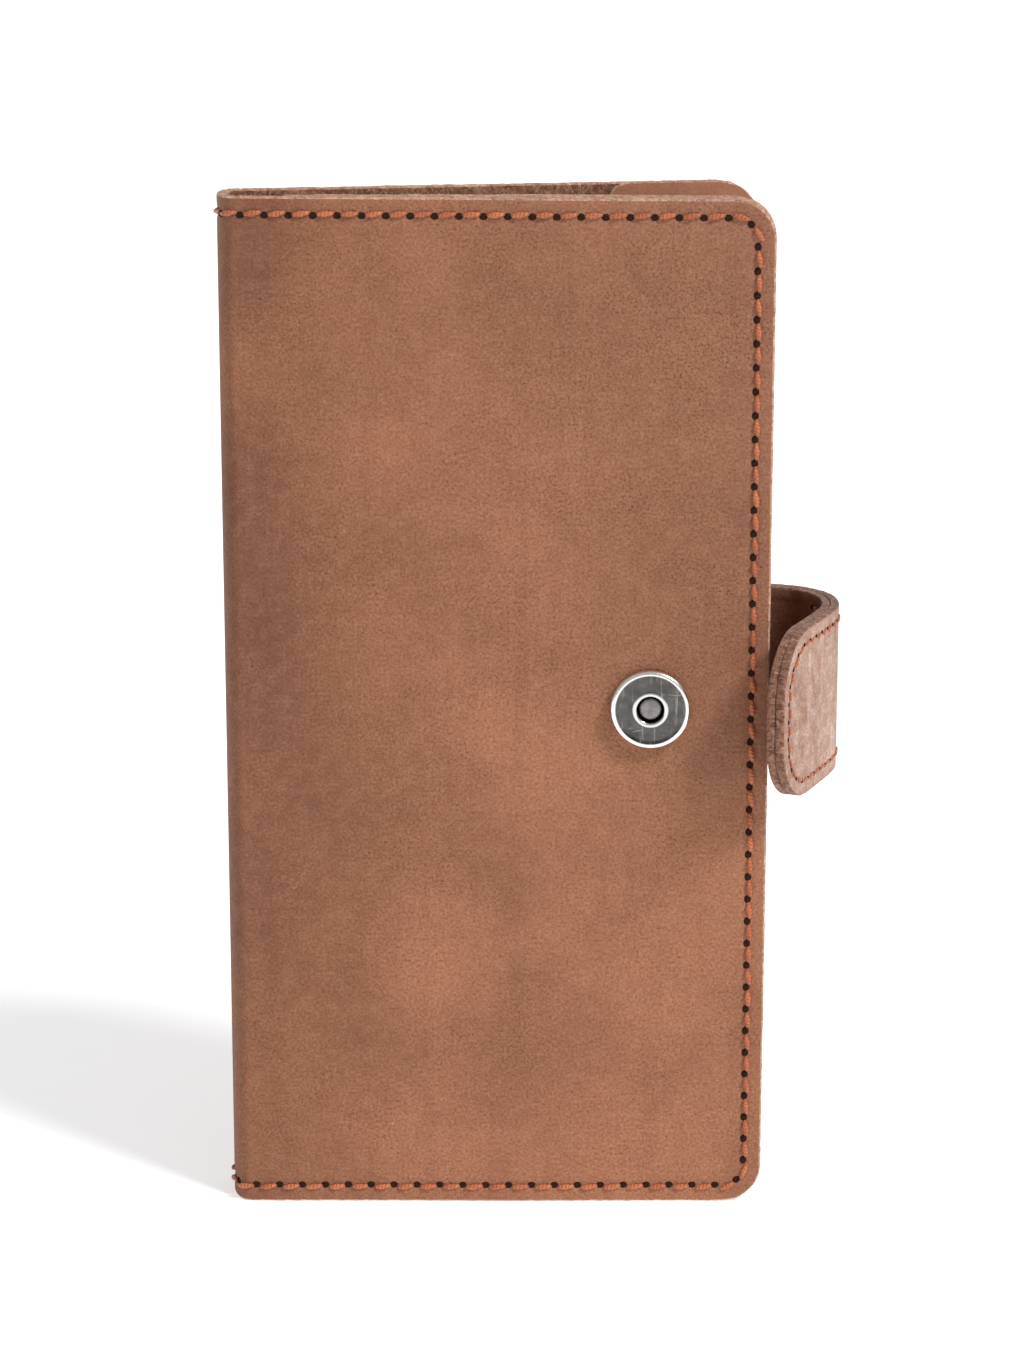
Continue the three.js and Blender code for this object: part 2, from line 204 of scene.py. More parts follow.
# Shares from 0 to 1 along a side, closer together near its ends.
def shares(length, coarse, fine, margin, fineStart=True):
    low = margin if fineStart else 0
    high = length - margin
    steps = [np.linspace(low, high, max(int((high - low) / coarse), 2) + 1)]
    if fineStart:
        steps.insert(0, np.linspace(0, low, int(margin / fine) + 1)[:-1])
    steps.append(np.linspace(high, length, int(margin / fine) + 1)[1:])
    return np.concatenate(steps) / length


def noRelief(u, z):
    return 0 * u


# A mesh from arrays, with its faces turned outwards by the sign of its volume.
def closedPiece(name, vertices, faces, finish, kinds=None):
    faces = [list(map(int, face)) for face in faces]
    fan = np.array([(face[0], face[k], face[k + 1]) for face in faces for k in range(1, len(face) - 1)])
    one, two, three = (vertices[fan[:, k]] for k in range(3))
    if np.einsum("ij,ij->i", one, np.cross(two, three)).sum() < 0:
        faces = [face[::-1] for face in faces]
    mesh = bpy.data.meshes.new(name)
    mesh.from_pydata(vertices.tolist(), [], faces)
    for material in finish:
        mesh.materials.append(material)
    if kinds is not None:
        mesh.polygons.foreach_set("material_index", np.asarray(kinds, np.int32))
    mesh.polygons.foreach_set("use_smooth", np.ones(len(faces), bool))
    mesh.update()
    piece = bpy.data.objects.new(name, mesh)
    bpy.context.scene.collection.objects.link(piece)
    return piece


def keepAttribute(piece, name, values):
    kind = "FLOAT_VECTOR" if values.ndim == 2 else "FLOAT"
    attribute = piece.data.attributes.new(name, kind, "POINT")
    attribute.data.foreach_set("vector" if values.ndim == 2 else "value", values.astype(np.float32).ravel())


# Keeps the shading flat across the closing face where two pieces meet.
def sharpRim(piece, isJoined):
    co = np.zeros(len(piece.data.vertices) * 3)
    piece.data.vertices.foreach_get("co", co)
    joined = isJoined(co.reshape(-1, 3))
    for polygon in piece.data.polygons:
        if polygon.material_index == 2 and all(joined[i] for i in polygon.vertices):
            polygon.use_smooth = False
    for edge in piece.data.edges:
        if joined[edge.vertices[0]] and joined[edge.vertices[1]]:
            edge.use_edge_sharp = True


# finish holds three materials: near face, far face, cut edge. Relief rises out of each face.
def leatherLayer(name, place, outline, acrossShares, upShares, near, far, finish,
                 rounding=0.3, nearRelief=noRelief, farRelief=noRelief, wear=3.0, roughEdge=0.05):
    a, b = np.meshgrid(acrossShares, upShares)
    rows, columns = a.shape
    count = rows * columns
    index = np.arange(count).reshape(rows, columns)
    loop = np.concatenate([index[0, :-1], index[:-1, -1], index[-1, :0:-1], index[:0:-1, 0]])
    u, z = outline(a, b, rounding)
    nearFace = place(u, z, near - nearRelief(u, z))
    farFace = place(u, z, far + farRelief(u, z))
    vertices = [nearFace.reshape(-1, 3), farFace.reshape(-1, 3)]
    flat = [points(mm * u, mm * z, mm * depth).reshape(-1, 3) for depth in (near, far)]
    fullU, fullZ = outline(a, b, 0)
    fromEnds = np.minimum(fullZ - fullZ.min(), fullZ.max() - fullZ)
    fromEdge = np.minimum(fromEnds, fullU.max() - fullU)
    faceWear = np.clip(1 - fromEdge / wear, 0, 1).reshape(-1)
    worn = [faceWear, faceWear]

    loopA, loopB = a.reshape(-1)[loop], b.reshape(-1)[loop]
    rough = np.random.default_rng(len(name) * 7 + 3)  # each piece's name gives its own seed
    turns = [math.radians(angle) for angle in (30, 60, 90)]
    quarter = [(rounding * (1 - math.sin(turn)), rounding * (1 - math.cos(turn))) for turn in turns]
    profile = [(inset, near + drop) for inset, drop in quarter]
    profile.append((0.0, (near + far) / 2))
    profile += [(inset, far - drop) for inset, drop in quarter[::-1]]
    for inset, depth in profile:
        ragged = roughEdge * rough.random(len(loop))
        u, z = outline(loopA, loopB, inset + ragged)
        share = (depth - near) / (far - near)
        shift = -nearRelief(u, z) * (1 - share) + farRelief(u, z) * share
        vertices.append(place(u, z, depth + shift))
        flat.append(points(mm * u, mm * z, mm * depth))
        worn.append(np.ones(len(loop)))

    faces, kinds = [], []
    corner = index[:-1, :-1].reshape(-1)
    quads = np.stack([corner, corner + 1, corner + 1 + columns, corner + columns], axis=1)
    faces.append(quads)
    kinds.append(np.zeros(len(quads), int))
    faces.append(quads[:, ::-1] + count)
    kinds.append(np.ones(len(quads), int))
    rings = [loop]
    rings += [2 * count + k * len(loop) + np.arange(len(loop)) for k in range(len(profile))]
    rings.append(loop + count)
    for one, two in zip(rings, rings[1:]):
        strip = np.stack([one, two, np.roll(two, -1), np.roll(one, -1)], axis=1)
        faces.append(strip)
        kinds.append(np.full(len(strip), 2))
    piece = closedPiece(name, np.concatenate(vertices), np.concatenate(faces), finish, np.concatenate(kinds))
    keepAttribute(piece, "flatPlace", np.concatenate(flat))
    keepAttribute(piece, "edgeWear", np.concatenate(worn))
    return piece


def node(tree, kind, inputs=None, **settings):
    made = tree.nodes.new(kind)
    for name, value in settings.items():
        setattr(made, name, value)
    for name, value in (inputs or {}).items():
        if isinstance(value, bpy.types.NodeSocket):
            tree.links.new(value, made.inputs[name])
        else:
            made.inputs[name].default_value = value
    return made


# A colour as a painter reads it, 0 to 255, turned to linear light.
def colour(red, green, blue):
    def linear(value):
        share = value / 255
        return share / 12.92 if share <= 0.04045 else ((share + 0.055) / 1.055) ** 2.4
    return (linear(red), linear(green), linear(blue), 1.0)


def newFinish(name):
    material = bpy.data.materials.new(name)
    material.use_nodes = True
    tree = material.node_tree
    tree.nodes.clear()
    out = node(tree, "ShaderNodeOutputMaterial")
    shader = node(tree, "ShaderNodeBsdfPrincipled")
    tree.links.new(shader.outputs["BSDF"], out.inputs["Surface"])
    return material, tree, shader


def scaled(tree, vector, scale, turn=(0, 0, 0), shift=(0, 0, 0)):
    mapping = node(tree, "ShaderNodeMapping", {"Vector": vector, "Scale": scale, "Location": shift})
    mapping.inputs["Rotation"].default_value = [math.radians(angle) for angle in turn]
    return mapping.outputs["Vector"]


def noiseOf(tree, vector, scale, detail=3.0, roughness=0.55, distortion=0.0):
    made = node(tree, "ShaderNodeTexNoise", {
        "Vector": vector, "Scale": scale, "Detail": detail, "Roughness": roughness, "Distortion": distortion,
    })
    return made.outputs["Fac"]


def cellsOf(tree, vector, scale):
    made = node(tree, "ShaderNodeTexVoronoi", {"Vector": vector, "Scale": scale})
    return made.outputs["Distance"]


def ramp(tree, value, low, high, toLow=0.0, toHigh=1.0):
    made = node(tree, "ShaderNodeMapRange", {
        "Value": value, "From Min": low, "From Max": high, "To Min": toLow, "To Max": toHigh,
    }, clamp=True)
    return made.outputs["Result"]


def maths(tree, operation, one, two):
    made = node(tree, "ShaderNodeMath", {0: one, 1: two}, operation=operation)
    return made.outputs[0]


def product(tree, one, two):
    return maths(tree, "MULTIPLY", one, two)


def mixed(tree, share, one, two):
    made = node(tree, "ShaderNodeMix", data_type="RGBA")
    for socket, value in ((made.inputs[0], share), (made.inputs[6], one), (made.inputs[7], two)):
        if isinstance(value, bpy.types.NodeSocket):
            tree.links.new(value, socket)
        else:
            socket.default_value = value
    return made.outputs[2]


def bumped(tree, height, strength, distance, below=None):
    made = node(tree, "ShaderNodeBump", {"Height": height, "Strength": strength, "Distance": distance})
    if below is not None:
        tree.links.new(below, made.inputs["Normal"])
    return made.outputs["Normal"]


# How big each mark in the smooth leather is (cells per metre), shared by every look.
markScale = {
    "broad": 26,
    "blotch": 75,
    "cloud": 340,
    "paintedSpineShade": 14,
    "scuffZone": 55,
    "poreZone": 48,
    "nick": 75,
    "nickGrit": 2600,
    "fine": 3800,
    "dents": 190,
}


# Smooth-side leather: broad tone changes, pores, rubbed streaks, pale scuffs, worn edges and a painted shade
# along the spine fold.
def grainedLeather(name, look):
    material, tree, shader = newFinish(name)
    place = node(tree, "ShaderNodeAttribute", attribute_name="flatPlace").outputs["Vector"]
    wear = node(tree, "ShaderNodeAttribute", attribute_name="edgeWear").outputs["Fac"]
    apart = node(tree, "ShaderNodeSeparateXYZ", {"Vector": place})
    broad = noiseOf(tree, scaled(tree, place, (1, 1, 1), shift=look["shift"]), markScale["broad"], 3, 0.5)
    blotch = noiseOf(tree, place, markScale["blotch"], 4, 0.62, 0.4)
    cloud = noiseOf(tree, place, markScale["cloud"], 4, 0.65)
    tone = mixed(tree, ramp(tree, broad, 0.38, 0.62), look["base"], look["warm"])
    across = ramp(tree, apart.outputs["X"], 0.02, 0.085)
    up = ramp(tree, apart.outputs["Y"], 0.05, 0.165)
    corner = product(tree, product(tree, across, up), look["cornerAmount"])
    tone = mixed(tree, corner, tone, look["corner"])
    # painted shade: patchy darkening of the leather along the spine fold
    spineShade = noiseOf(tree, place, markScale["paintedSpineShade"], 2)
    spineShade = ramp(tree, spineShade, 0.35, 0.6, 0.35, look["paintedSpineShadeAmount"])
    paintedSpineShadeMask = product(tree, ramp(tree, apart.outputs["X"], 0.034, 0.004), spineShade)
    tone = mixed(tree, paintedSpineShadeMask, tone, look["paintedSpineShade"])
    tone = mixed(tree, ramp(tree, blotch, 0.5, 0.78, 0, look["blotch"]), tone, look["dark"])
    tone = mixed(tree, ramp(tree, cloud, 0.42, 0.7, 0, look["cloud"]), tone, look["pale"])

    streak = noiseOf(tree, scaled(tree, place, look["streakScale"]), 1.0, 4, 0.6, 0.2)
    tone = mixed(tree, ramp(tree, streak, 0.52, 0.75, 0, look["streak"]), tone, look["streakColour"])
    scuffShift = scaled(tree, place, (1, 1, 1), shift=(0.4, 0.1, 0))
    scuffZone = ramp(tree, noiseOf(tree, scuffShift, markScale["scuffZone"], 2), 0.45, 0.62)
    scuffLine = noiseOf(tree, scaled(tree, place, look["scuffScale"], turn=(0, 0, 8)), 1.0, 5, 0.7, 0.5)
    scuff = product(tree, scuffZone, ramp(tree, scuffLine, 0.54, 0.68, 0, look["scuff"]))
    tone = mixed(tree, scuff, tone, look["pale"])

    poreCells = cellsOf(tree, place, look["poreScale"])
    poreZone = noiseOf(tree, place, markScale["poreZone"], 5, 0.65)
    poreZone = maths(tree, "ADD", poreZone, product(tree, corner, look["poreCorner"]))
    pore = product(tree, ramp(tree, poreCells, 0.3, 0.14), ramp(tree, poreZone, 0.42, 0.72))
    tone = mixed(tree, product(tree, pore, look["pores"]), tone, look["dark"])
    mottle = noiseOf(tree, place, look["speckScale"] * 0.95, 3, 0.65)
    tone = mixed(tree, ramp(tree, mottle, 0.62, 0.36, 0, look["mottle"]), tone, look["dark"])
    tone = mixed(tree, ramp(tree, mottle, 0.6, 0.75, 0, look["mottle"] * 0.3), tone, look["pale"])
    speck = ramp(tree, noiseOf(tree, place, look["speckScale"], 2, 0.6), 0.54, 0.68)
    speck = product(tree, speck, ramp(tree, poreZone, 0.45, 0.75, look["speckLow"], look["speck"]))
    tone = mixed(tree, speck, tone, look["dark"])
    nickGrit = ramp(tree, noiseOf(tree, place, markScale["nickGrit"], 1), 0.45, 0.6)
    nick = product(tree, ramp(tree, cellsOf(tree, place, markScale["nick"]), 0.035, 0.015), nickGrit)
    tone = mixed(tree, product(tree, nick, look["nicks"]), tone, look["pale"])
    edge = product(tree, maths(tree, "POWER", wear, 2.2), ramp(tree, cloud, 0.3, 0.6))
    tone = mixed(tree, product(tree, edge, look["edgeAmount"]), tone, look["edge"])
    tree.links.new(tone, shader.inputs["Base Color"])

    rough = ramp(tree, broad, 0.35, 0.65, look["roughness"] - 0.05, look["roughness"] + 0.05)
    rough = maths(tree, "ADD", rough, product(tree, pore, 0.08))
    tree.links.new(rough, shader.inputs["Roughness"])
    grain = cellsOf(tree, place, look["grainScale"])
    fine = noiseOf(tree, place, markScale["fine"], 3, 0.6)
    height = maths(tree, "ADD", product(tree, grain, 0.6), product(tree, fine, 0.5))
    height = maths(tree, "SUBTRACT", height, product(tree, pore, 0.7))
    normal = bumped(tree, height, look["bump"], 0.00016)
    dents = noiseOf(tree, place, markScale["dents"], 4, 0.6)
    normal = bumped(tree, dents, look["bump"] * 0.6, 0.0006, normal)
    tree.links.new(normal, shader.inputs["Normal"])
    shader.inputs["Specular IOR Level"].default_value = 0.25
    shader.inputs["Sheen Weight"].default_value = look["sheen"]
    shader.inputs["Sheen Roughness"].default_value = 0.5
    return material


# The flesh side and the cut edges: rough, matted fibres.
def fibrousLeather(name, look):
    material, tree, shader = newFinish(name)
    place = node(tree, "ShaderNodeAttribute", attribute_name="flatPlace").outputs["Vector"]
    broad = noiseOf(tree, place, look["broadScale"], 4, 0.6)
    tuft = noiseOf(tree, place, look["tuftScale"], 5, 0.7, 0.6)
    fibre = noiseOf(tree, scaled(tree, place, look["fibreScale"]), 1.0, 4, 0.7, 1.0)
    tone = mixed(tree, ramp(tree, broad, 0.35, 0.65), look["base"], look["second"])
    tone = mixed(tree, ramp(tree, tuft, 0.4, 0.68), look["dark"], tone)
    tone = mixed(tree, ramp(tree, fibre, 0.52, 0.75, 0, look["fibre"]), tone, look["pale"])
    tree.links.new(tone, shader.inputs["Base Color"])
    tree.links.new(ramp(tree, tuft, 0.3, 0.7, 0.85, 0.97), shader.inputs["Roughness"])
    normal = bumped(tree, tuft, look["bump"], 0.0005)
    tree.links.new(bumped(tree, fibre, look["bump"] * 0.7, 0.0002, normal), shader.inputs["Normal"])
    shader.inputs["Specular IOR Level"].default_value = 0.15
    shader.inputs["Sheen Weight"].default_value = 0.25
    return material


coverLook = {
    "base": colour(152, 100, 72),
    "warm": colour(174, 117, 85),
    "corner": colour(146, 98, 76),
    "cornerAmount": 0.7,
    # painted shade along the spine fold, and how strong it is
    "paintedSpineShade": colour(116, 72, 52),
    "paintedSpineShadeAmount": 0.9,
    "dark": colour(76, 42, 30),
    "pale": colour(206, 156, 124),
    "shift": (0.13, 0.02, 0.0),  # metres, moves the broad tone patches
    "blotch": 0.2,
    "cloud": 0.14,
    "streakScale": (260, 14, 1),
    "streak": 0.2,
    "streakColour": colour(118, 74, 53),
    "scuffScale": (900, 60, 1),
    "scuff": 0.14,
    "poreScale": 1700,
    "pores": 0.7,
    "poreCorner": 0.14,
    "speckScale": 2100,
    "speck": 0.75,
    "speckLow": 0.3,
    "mottle": 0.42,
    "nicks": 0.7,
    "edge": colour(150, 100, 74),
    "edgeAmount": 0.2,
    "grainScale": 1900,
    "roughness": 0.66,
    "bump": 0.5,
    "sheen": 0.02,
}
innerLook = dict(
    coverLook, base=colour(172, 119, 92), warm=colour(164, 110, 82), corner=colour(168, 116, 90),
    paintedSpineShadeAmount=0.2, pores=0.3, speck=0.25, speckLow=0.1, mottle=0.15, bump=0.3, roughness=0.6)
strapLook = dict(
    coverLook, base=colour(186, 152, 134), warm=colour(158, 120, 102), corner=colour(176, 140, 122),
    paintedSpineShadeAmount=0.0, dark=colour(104, 68, 54), pale=colour(226, 204, 190), scuff=0.8,
    scuffScale=(420, 50, 420), streak=0.6, streakScale=(300, 26, 300), streakColour=colour(206, 180, 164),
    cloud=0.5, blotch=0.45, speck=0.4, mottle=0.4, edge=colour(160, 112, 88), edgeAmount=0.7, roughness=0.74,
    bump=0.6)
liningLook = dict(
    coverLook, base=colour(134, 84, 60), warm=colour(118, 73, 52), corner=colour(126, 80, 58),
    paintedSpineShadeAmount=0.0, pores=0.3, speck=0.35, edge=colour(178, 130, 104), edgeAmount=0.7)
suedeLook = {
    "base": colour(186, 134, 104),
    "second": colour(168, 117, 90),
    "dark": colour(112, 70, 50),
    "pale": colour(226, 188, 162),
    "broadScale": 45,
    "tuftScale": 900,
    "fibreScale": (1500, 900, 1500),
    "fibre": 0.7,
    "bump": 1.0,
}
edgeLook = dict(
    suedeLook, base=colour(224, 184, 158), second=colour(206, 162, 134), dark=colour(150, 100, 76),
    pale=colour(240, 214, 194), fibreScale=(2600, 2600, 700), bump=0.6)
edgeDarkLook = dict(
    edgeLook, base=colour(172, 126, 102), second=colour(146, 102, 80), dark=colour(90, 56, 42),
    pale=colour(220, 182, 158))

coverFinish = grainedLeather("tanCoverLeather", coverLook)
innerFinish = grainedLeather("smoothInnerLeather", innerLook)
strapFinish = grainedLeather("scuffedStrapLeather", strapLook)
liningFinish = grainedLeather("darkStrapLining", liningLook)
suedeFinish = fibrousLeather("roughFleshSide", suedeLook)
edgeFinish = fibrousLeather("paleCutEdge", edgeLook)
strapEdgeFinish = fibrousLeather("strapCutEdge", edgeDarkLook)
print("wallet: leathers ready")


# A seam is a line of points (u, z), set in from the free edges.
seam = {
    "margin": 3.2,
    "pitch": 4.15,
    "thread": 0.95,
    "length": 0.84,  # share of the pitch
    "lift": 0.26,
    "groove": 0.26,
    "grooveWidth": 0.9,
    "hole": 0.64,
    "sideways": 0.3,
    "slant": 6.0,
    "uneven": 0.07,
    "step": 0.25,
}
coverStitch = {"pitch": seam["pitch"], "size": 1.0}
strapStitch = {"pitch": 3.0, "size": 0.66}


# From the start along the top, down the free edge and back along the foot.
def roundedPath(start, edge, low, high, corner):
    turns = np.linspace(0, math.pi / 2, 13)
    line = [(start, high)]
    line += [(edge - corner + corner * math.sin(t), high - corner + corner * math.cos(t)) for t in turns]
    line += [(edge - corner + corner * math.cos(t), low + corner - corner * math.sin(t)) for t in turns]
    line.append((start, low))
    return evenly(np.array(line))


def evenly(line):
    lengths = np.concatenate([[0], np.cumsum(np.linalg.norm(np.diff(line, axis=0), axis=1))])
    count = max(int(round(lengths[-1] / seam["step"])), 2)
    at = np.linspace(0, lengths[-1], count + 1)
    return np.stack([np.interp(at, lengths, line[:, k]) for k in range(line.shape[1])], axis=1)


def stitchCount(line, stitch):
    length = float(np.linalg.norm(np.diff(line, axis=0), axis=1).sum())
    return int(round(length / stitch["pitch"]))


# Relief that sinks the leather a little under each seam, most of all at its holes.
def grooveAlong(*lines, stitch=coverStitch):
    reach, size, trees = 3, stitch["size"], []
    for line in lines:
        tree = KDTree(len(line))
        for i, (u, z) in enumerate(line):
            tree.insert((u, z, 0), i)
        tree.balance()
        trees.append((tree, line, stitchCount(line, stitch) / (len(line) - 1)))

    def relief(u, z):
        flatU, flatZ = u.reshape(-1), z.reshape(-1)
        depth = np.zeros(len(flatU))
        for tree, line, perPoint in trees:
            low, high = line.min(axis=0) - reach, line.max(axis=0) + reach
            near = (flatU > low[0]) & (flatU < high[0]) & (flatZ > low[1]) & (flatZ < high[1])
            for i in np.nonzero(near)[0]:
                _, k, away = tree.find((flatU[i], flatZ[i], 0))
                if away < reach:
                    atHole = 0.5 + 0.5 * math.cos(2 * math.pi * k * perPoint)
                    across = math.exp(-(away / seam["grooveWidth"] / size) ** 2)
                    depth[i] += across * (0.45 + 0.55 * atHole) * size
        return -seam["groove"] * depth.reshape(u.shape)
    return relief


def waves(u, z):
    slow = np.sin(u / 19 + 0.7) * np.cos(z / 41 + 0.9) + 0.5 * np.sin(u / 9 + z / 33 + 2.1)
    return cover["wave"] * slow * np.clip(u / 8, 0, 1)


def napped(u, z):
    rough = np.random.default_rng(11).random(u.shape)
    return cover["suedeNap"] * (rough - 0.3)


hideSeam = roundedPath(cover["start"], cover["width"] - seam["margin"], seam["margin"],
                       cover["height"] - seam["margin"], cover["corner"] - seam["margin"])
hideGroove = grooveAlong(hideSeam)


# sign is 1 for the front half and -1 for the back one, so that their waves differ.
def hideRelief(sign):
    def relief(u, z):
        return hideGroove(u, z) + waves(u, z) * sign
    return relief


# The hide is two halves that meet along the middle of the spine.
def addHideHalf(name, place, sign):
    def fleshSide(u, z):
        return napped(u, z) - waves(u, z) * sign

    length = cover["width"] - cover["start"]
    outline = plainOutline(cover["start"], cover["width"], 0, cover["height"], cover["corner"], joined=True)
    across = shares(length, cover["acrossStep"], cover["fineStep"], cover["fineMargin"], fineStart=False)
    fold = np.linspace(0, cover["foldReach"] / length, cover["foldSteps"])
    across = np.concatenate([[0, fold[1] * 0.15], fold[1:], across[across > fold[-1] + 0.004]])
    up = shares(cover["height"], cover["upStep"], cover["fineStep"], cover["fineMargin"])
    half = leatherLayer(
        name, place, outline, across, up, 0, cover["leather"], (coverFinish, suedeFinish, edgeFinish),
        cover["edgeRound"], nearRelief=hideRelief(sign), farRelief=fleshSide, wear=cover["wear"],
        roughEdge=cover["roughEdge"])
    spineMiddle = (frontCrease.y + backCrease.y) / 2
    sharpRim(half, lambda co: np.abs(co[:, 1] - spineMiddle) < 0.02 * mm)
    return half


coverFrontHide = addHideHalf("coverFrontHide", onFrontHide, 1)
coverBackHide = addHideHalf("coverBackHide", onBackHide, -1)


# Where the hide starts and stops turning at a crease.
def bendEnds(side, onCover):
    return pointAt(onSpine, side * cover["spineHeldTo"]), pointAt(onCover, cover["blendUpTo"])


frontBend = bendEnds(-1, onFront)
backBend = bendEnds(1, onBack)
print("wallet: hide made")


# Inner panels, sewn to the covers along their free edges.
panels = {
    "start": 8.0,  # from the crease
    "leather": 0.9,
    "card": 0.7,
    "gap": 0.3,
    "mouths": (13.0, 29.0, 45.0),  # where each card panel starts, the deepest first
    "pocketStart": 12.0,
    "pocketSleeve": 65.0,
    "stepLow": 138.0,
    "stepHigh": 168.0,
    "pocketCorner": 3.3,
    "rounding": 0.2,
    "acrossStep": 2.2,
    "upStep": 2.0,
    "fineStep": 0.6,
    "wear": 1.6,
    "roughEdge": 0.04,
}
panelFinish = (innerFinish, innerFinish, edgeFinish)


def addPanel(name, place, outline, near, thick):
    across = shares(cover["width"] - panels["start"], panels["acrossStep"], panels["fineStep"], 3)
    up = shares(cover["height"], panels["upStep"], panels["fineStep"], cover["corner"])
    return leatherLayer(name, place, outline, across, up, near, near + thick, panelFinish, panels["rounding"],
                        wear=panels["wear"], roughEdge=panels["roughEdge"])


innerDepth = cover["leather"] + panels["gap"]
linerOutline = plainOutline(panels["start"], cover["width"], 0, cover["height"], cover["corner"])
frontInnerPanel = addPanel("frontInnerPanel", onFront, linerOutline, innerDepth, panels["leather"])
cardPanels = []
cardDepth = innerDepth + panels["leather"] + panels["gap"]
for mouth in panels["mouths"]:
    cardOutline = plainOutline(mouth, cover["width"], 0, cover["height"], cover["corner"])
    cardName = "cardPanel" + str(len(cardPanels) + 1)
    cardPanels.append(addPanel(cardName, onFront, cardOutline, cardDepth, panels["card"]))
    cardDepth += panels["card"] + panels["gap"]


# Its cut edge sweeps from near the spine, low down, to a short sleeve at the top.
def pocketOutline(a, b, inset):
    z = inset + b * (cover["height"] - 2 * inset)
    share = np.clip((z - panels["stepLow"]) / (panels["stepHigh"] - panels["stepLow"]), 0, 1)
    share = share * share * (3 - 2 * share)
    first = panels["pocketStart"] + (panels["pocketSleeve"] - panels["pocketStart"]) * share + inset
    first = first + cornerInset(z, -cover["height"], cover["height"] - inset, panels["pocketCorner"])
    last = cover["width"] - inset - cornerInset(z, inset, cover["height"] - inset, cover["corner"] - inset)
    return first + a * (last - first), z


backPocketPanel = addPanel("backPocketPanel", onBack, pocketOutline, innerDepth, panels["leather"])
print("wallet: inner panels made")


# The strap's outer layer and lining are each cut once, at the middle of the loop.
strapMid = strap["loop"] / 2
strapLow = strap["middle"] - strap["width"] / 2
strapHigh = strap["middle"] + strap["width"] / 2
strapEnd = strap["loop"] + strap["tip"]
rootStart = strap["root"] - strap["edge"]
studPlace = strapEnd - strap["snapToEnd"]
rootFace = pointAt(onStrap, strap["rootHeldTo"])
loopIn = pointAt(onStrap, strap["blendReach"])
loopOut = pointAt(onStrap, strap["loop"] - strap["blendReach"])
tipIn = pointAt(onStrap, strap["loop"] + strap["blendReach"])


def insideOut(t, z, depth):
    return onStrap(t, z, -depth)


def onOuterFace(t, z, depth):
    return onStrap(t, z, strap["thick"] - depth)


def snapBulge(t, z):
    away = np.hypot(t - studPlace, z - strap["middle"]) / strap["bulgeRadius"]
    return strap["bulge"] * np.clip(1 - away ** 4, 0, 1) ** 2


def strapSeam(start, end, corner):
    low, high = strapLow + strap["seamMargin"], strapHigh - strap["seamMargin"]
    return roundedPath(start, end, low, high, corner)


seamStart = rootStart + strap["seamStart"]
tipSeam = strapSeam(seamStart, strapEnd - strap["seamMargin"], strap["tipCorner"] - strap["seamMargin"])
rootSeam = strapSeam(-seamStart, -rootStart - strap["seamMargin"], 1.6) * (-1, 1)
strapGroove = grooveAlong(tipSeam, rootSeam, stitch=strapStitch)
tipOutline = plainOutline(strapMid, strapEnd, strapLow, strapHigh, strap["tipCorner"], joined=True)
mirroredRoot = plainOutline(-strapMid, -rootStart, strapLow, strapHigh, strap["rootCorner"], joined=True)


def rootOutline(a, b, inset):
    t, z = mirroredRoot(a, b, inset)
    return -t, z


def strapRelief(t, z):
    return strapGroove(t, z) + snapBulge(t, z)


# near and far are distances out from the strap's inner face.
def addStrapLayer(name, near, far, finish, isOuter, isTip):
    length = strapEnd - strapMid if isTip else strapMid - rootStart
    across = shares(length, strap["alongStep"], strap["fineStep"], 2)
    up = shares(strap["width"], strap["upStep"], strap["fineStep"], 4)
    piece = leatherLayer(
        name, insideOut, tipOutline if isTip else rootOutline, across, up, -far, -near, finish,
        strap["edgeRound"], nearRelief=strapRelief if isOuter else noRelief,
        farRelief=noRelief if isOuter else strapGroove, wear=strap["wear"], roughEdge=strap["roughEdge"])
    joint = onStrap(np.float64(strapMid), np.float64(strap["middle"]), np.array([0.0, 3.0]))
    along = Vector(joint[1] - joint[0]).normalized()
    normal = np.array(along.cross(Vector((0, 0, 1))))
    sharpRim(piece, lambda co: np.abs((co - joint[0]) @ normal) < 0.01 * mm)
    return piece


outerFinish = (strapFinish, suedeFinish, strapEdgeFinish)
liningFinishes = (suedeFinish, liningFinish, strapEdgeFinish)
outerNear = strap["lining"] + strap["layerGap"]
strapOuterRoot = addStrapLayer("strapOuterRoot", outerNear, strap["thick"], outerFinish, True, False)
strapOuterTip = addStrapLayer("strapOuterTip", outerNear, strap["thick"], outerFinish, True, True)
strapLiningRoot = addStrapLayer("strapLiningRoot", 0, strap["lining"], liningFinishes, False, False)
strapLiningTip = addStrapLayer("strapLiningTip", 0, strap["lining"], liningFinishes, False, True)
print("wallet: strap made")


# The magnetic snap. A profile's points are (radius, height) out of the leather.
snap = {
    "place": 71.3,
    "proud": 0.3,
    "sides": 72,
    "cap": [
        (0, 0), (7.0, 0), (7.0, 1.3), (6.97, 1.52), (6.88, 1.72), (6.72, 1.88), (6.5, 1.97), (6.3, 1.99),
        (6.12, 1.96), (5.98, 1.9), (5.0, 1.885), (4.0, 1.88), (3.3, 1.88), (3.12, 1.91), (2.98, 1.97),
        (2.82, 2.0), (2.64, 1.99), (2.5, 1.93), (2.4, 1.82), (2.35, 1.65), (2.35, 0.62), (0, 0.62),
    ],
    "rivet": [
        (0, 0.3), (1.2, 0.3), (1.2, 0.6), (1.9, 0.6), (1.93, 1.0), (1.86, 1.12), (1.7, 1.2), (1.3, 1.25),
        (0.7, 1.22), (0, 1.2),
    ],
    "stud": [
        (0, -0.9), (1.2, -0.9), (1.2, 0), (6.9, 0), (7.0, 0.12), (7.0, 0.36), (6.9, 0.5), (6.7, 0.6),
        (6.3, 0.58), (2.6, 0.5), (2.2, 0.56), (1.85, 0.75), (1.72, 1.0), (1.7, 1.45), (1.6, 1.65),
        (1.4, 1.77), (1.1, 1.8), (0, 1.76),
    ],
}


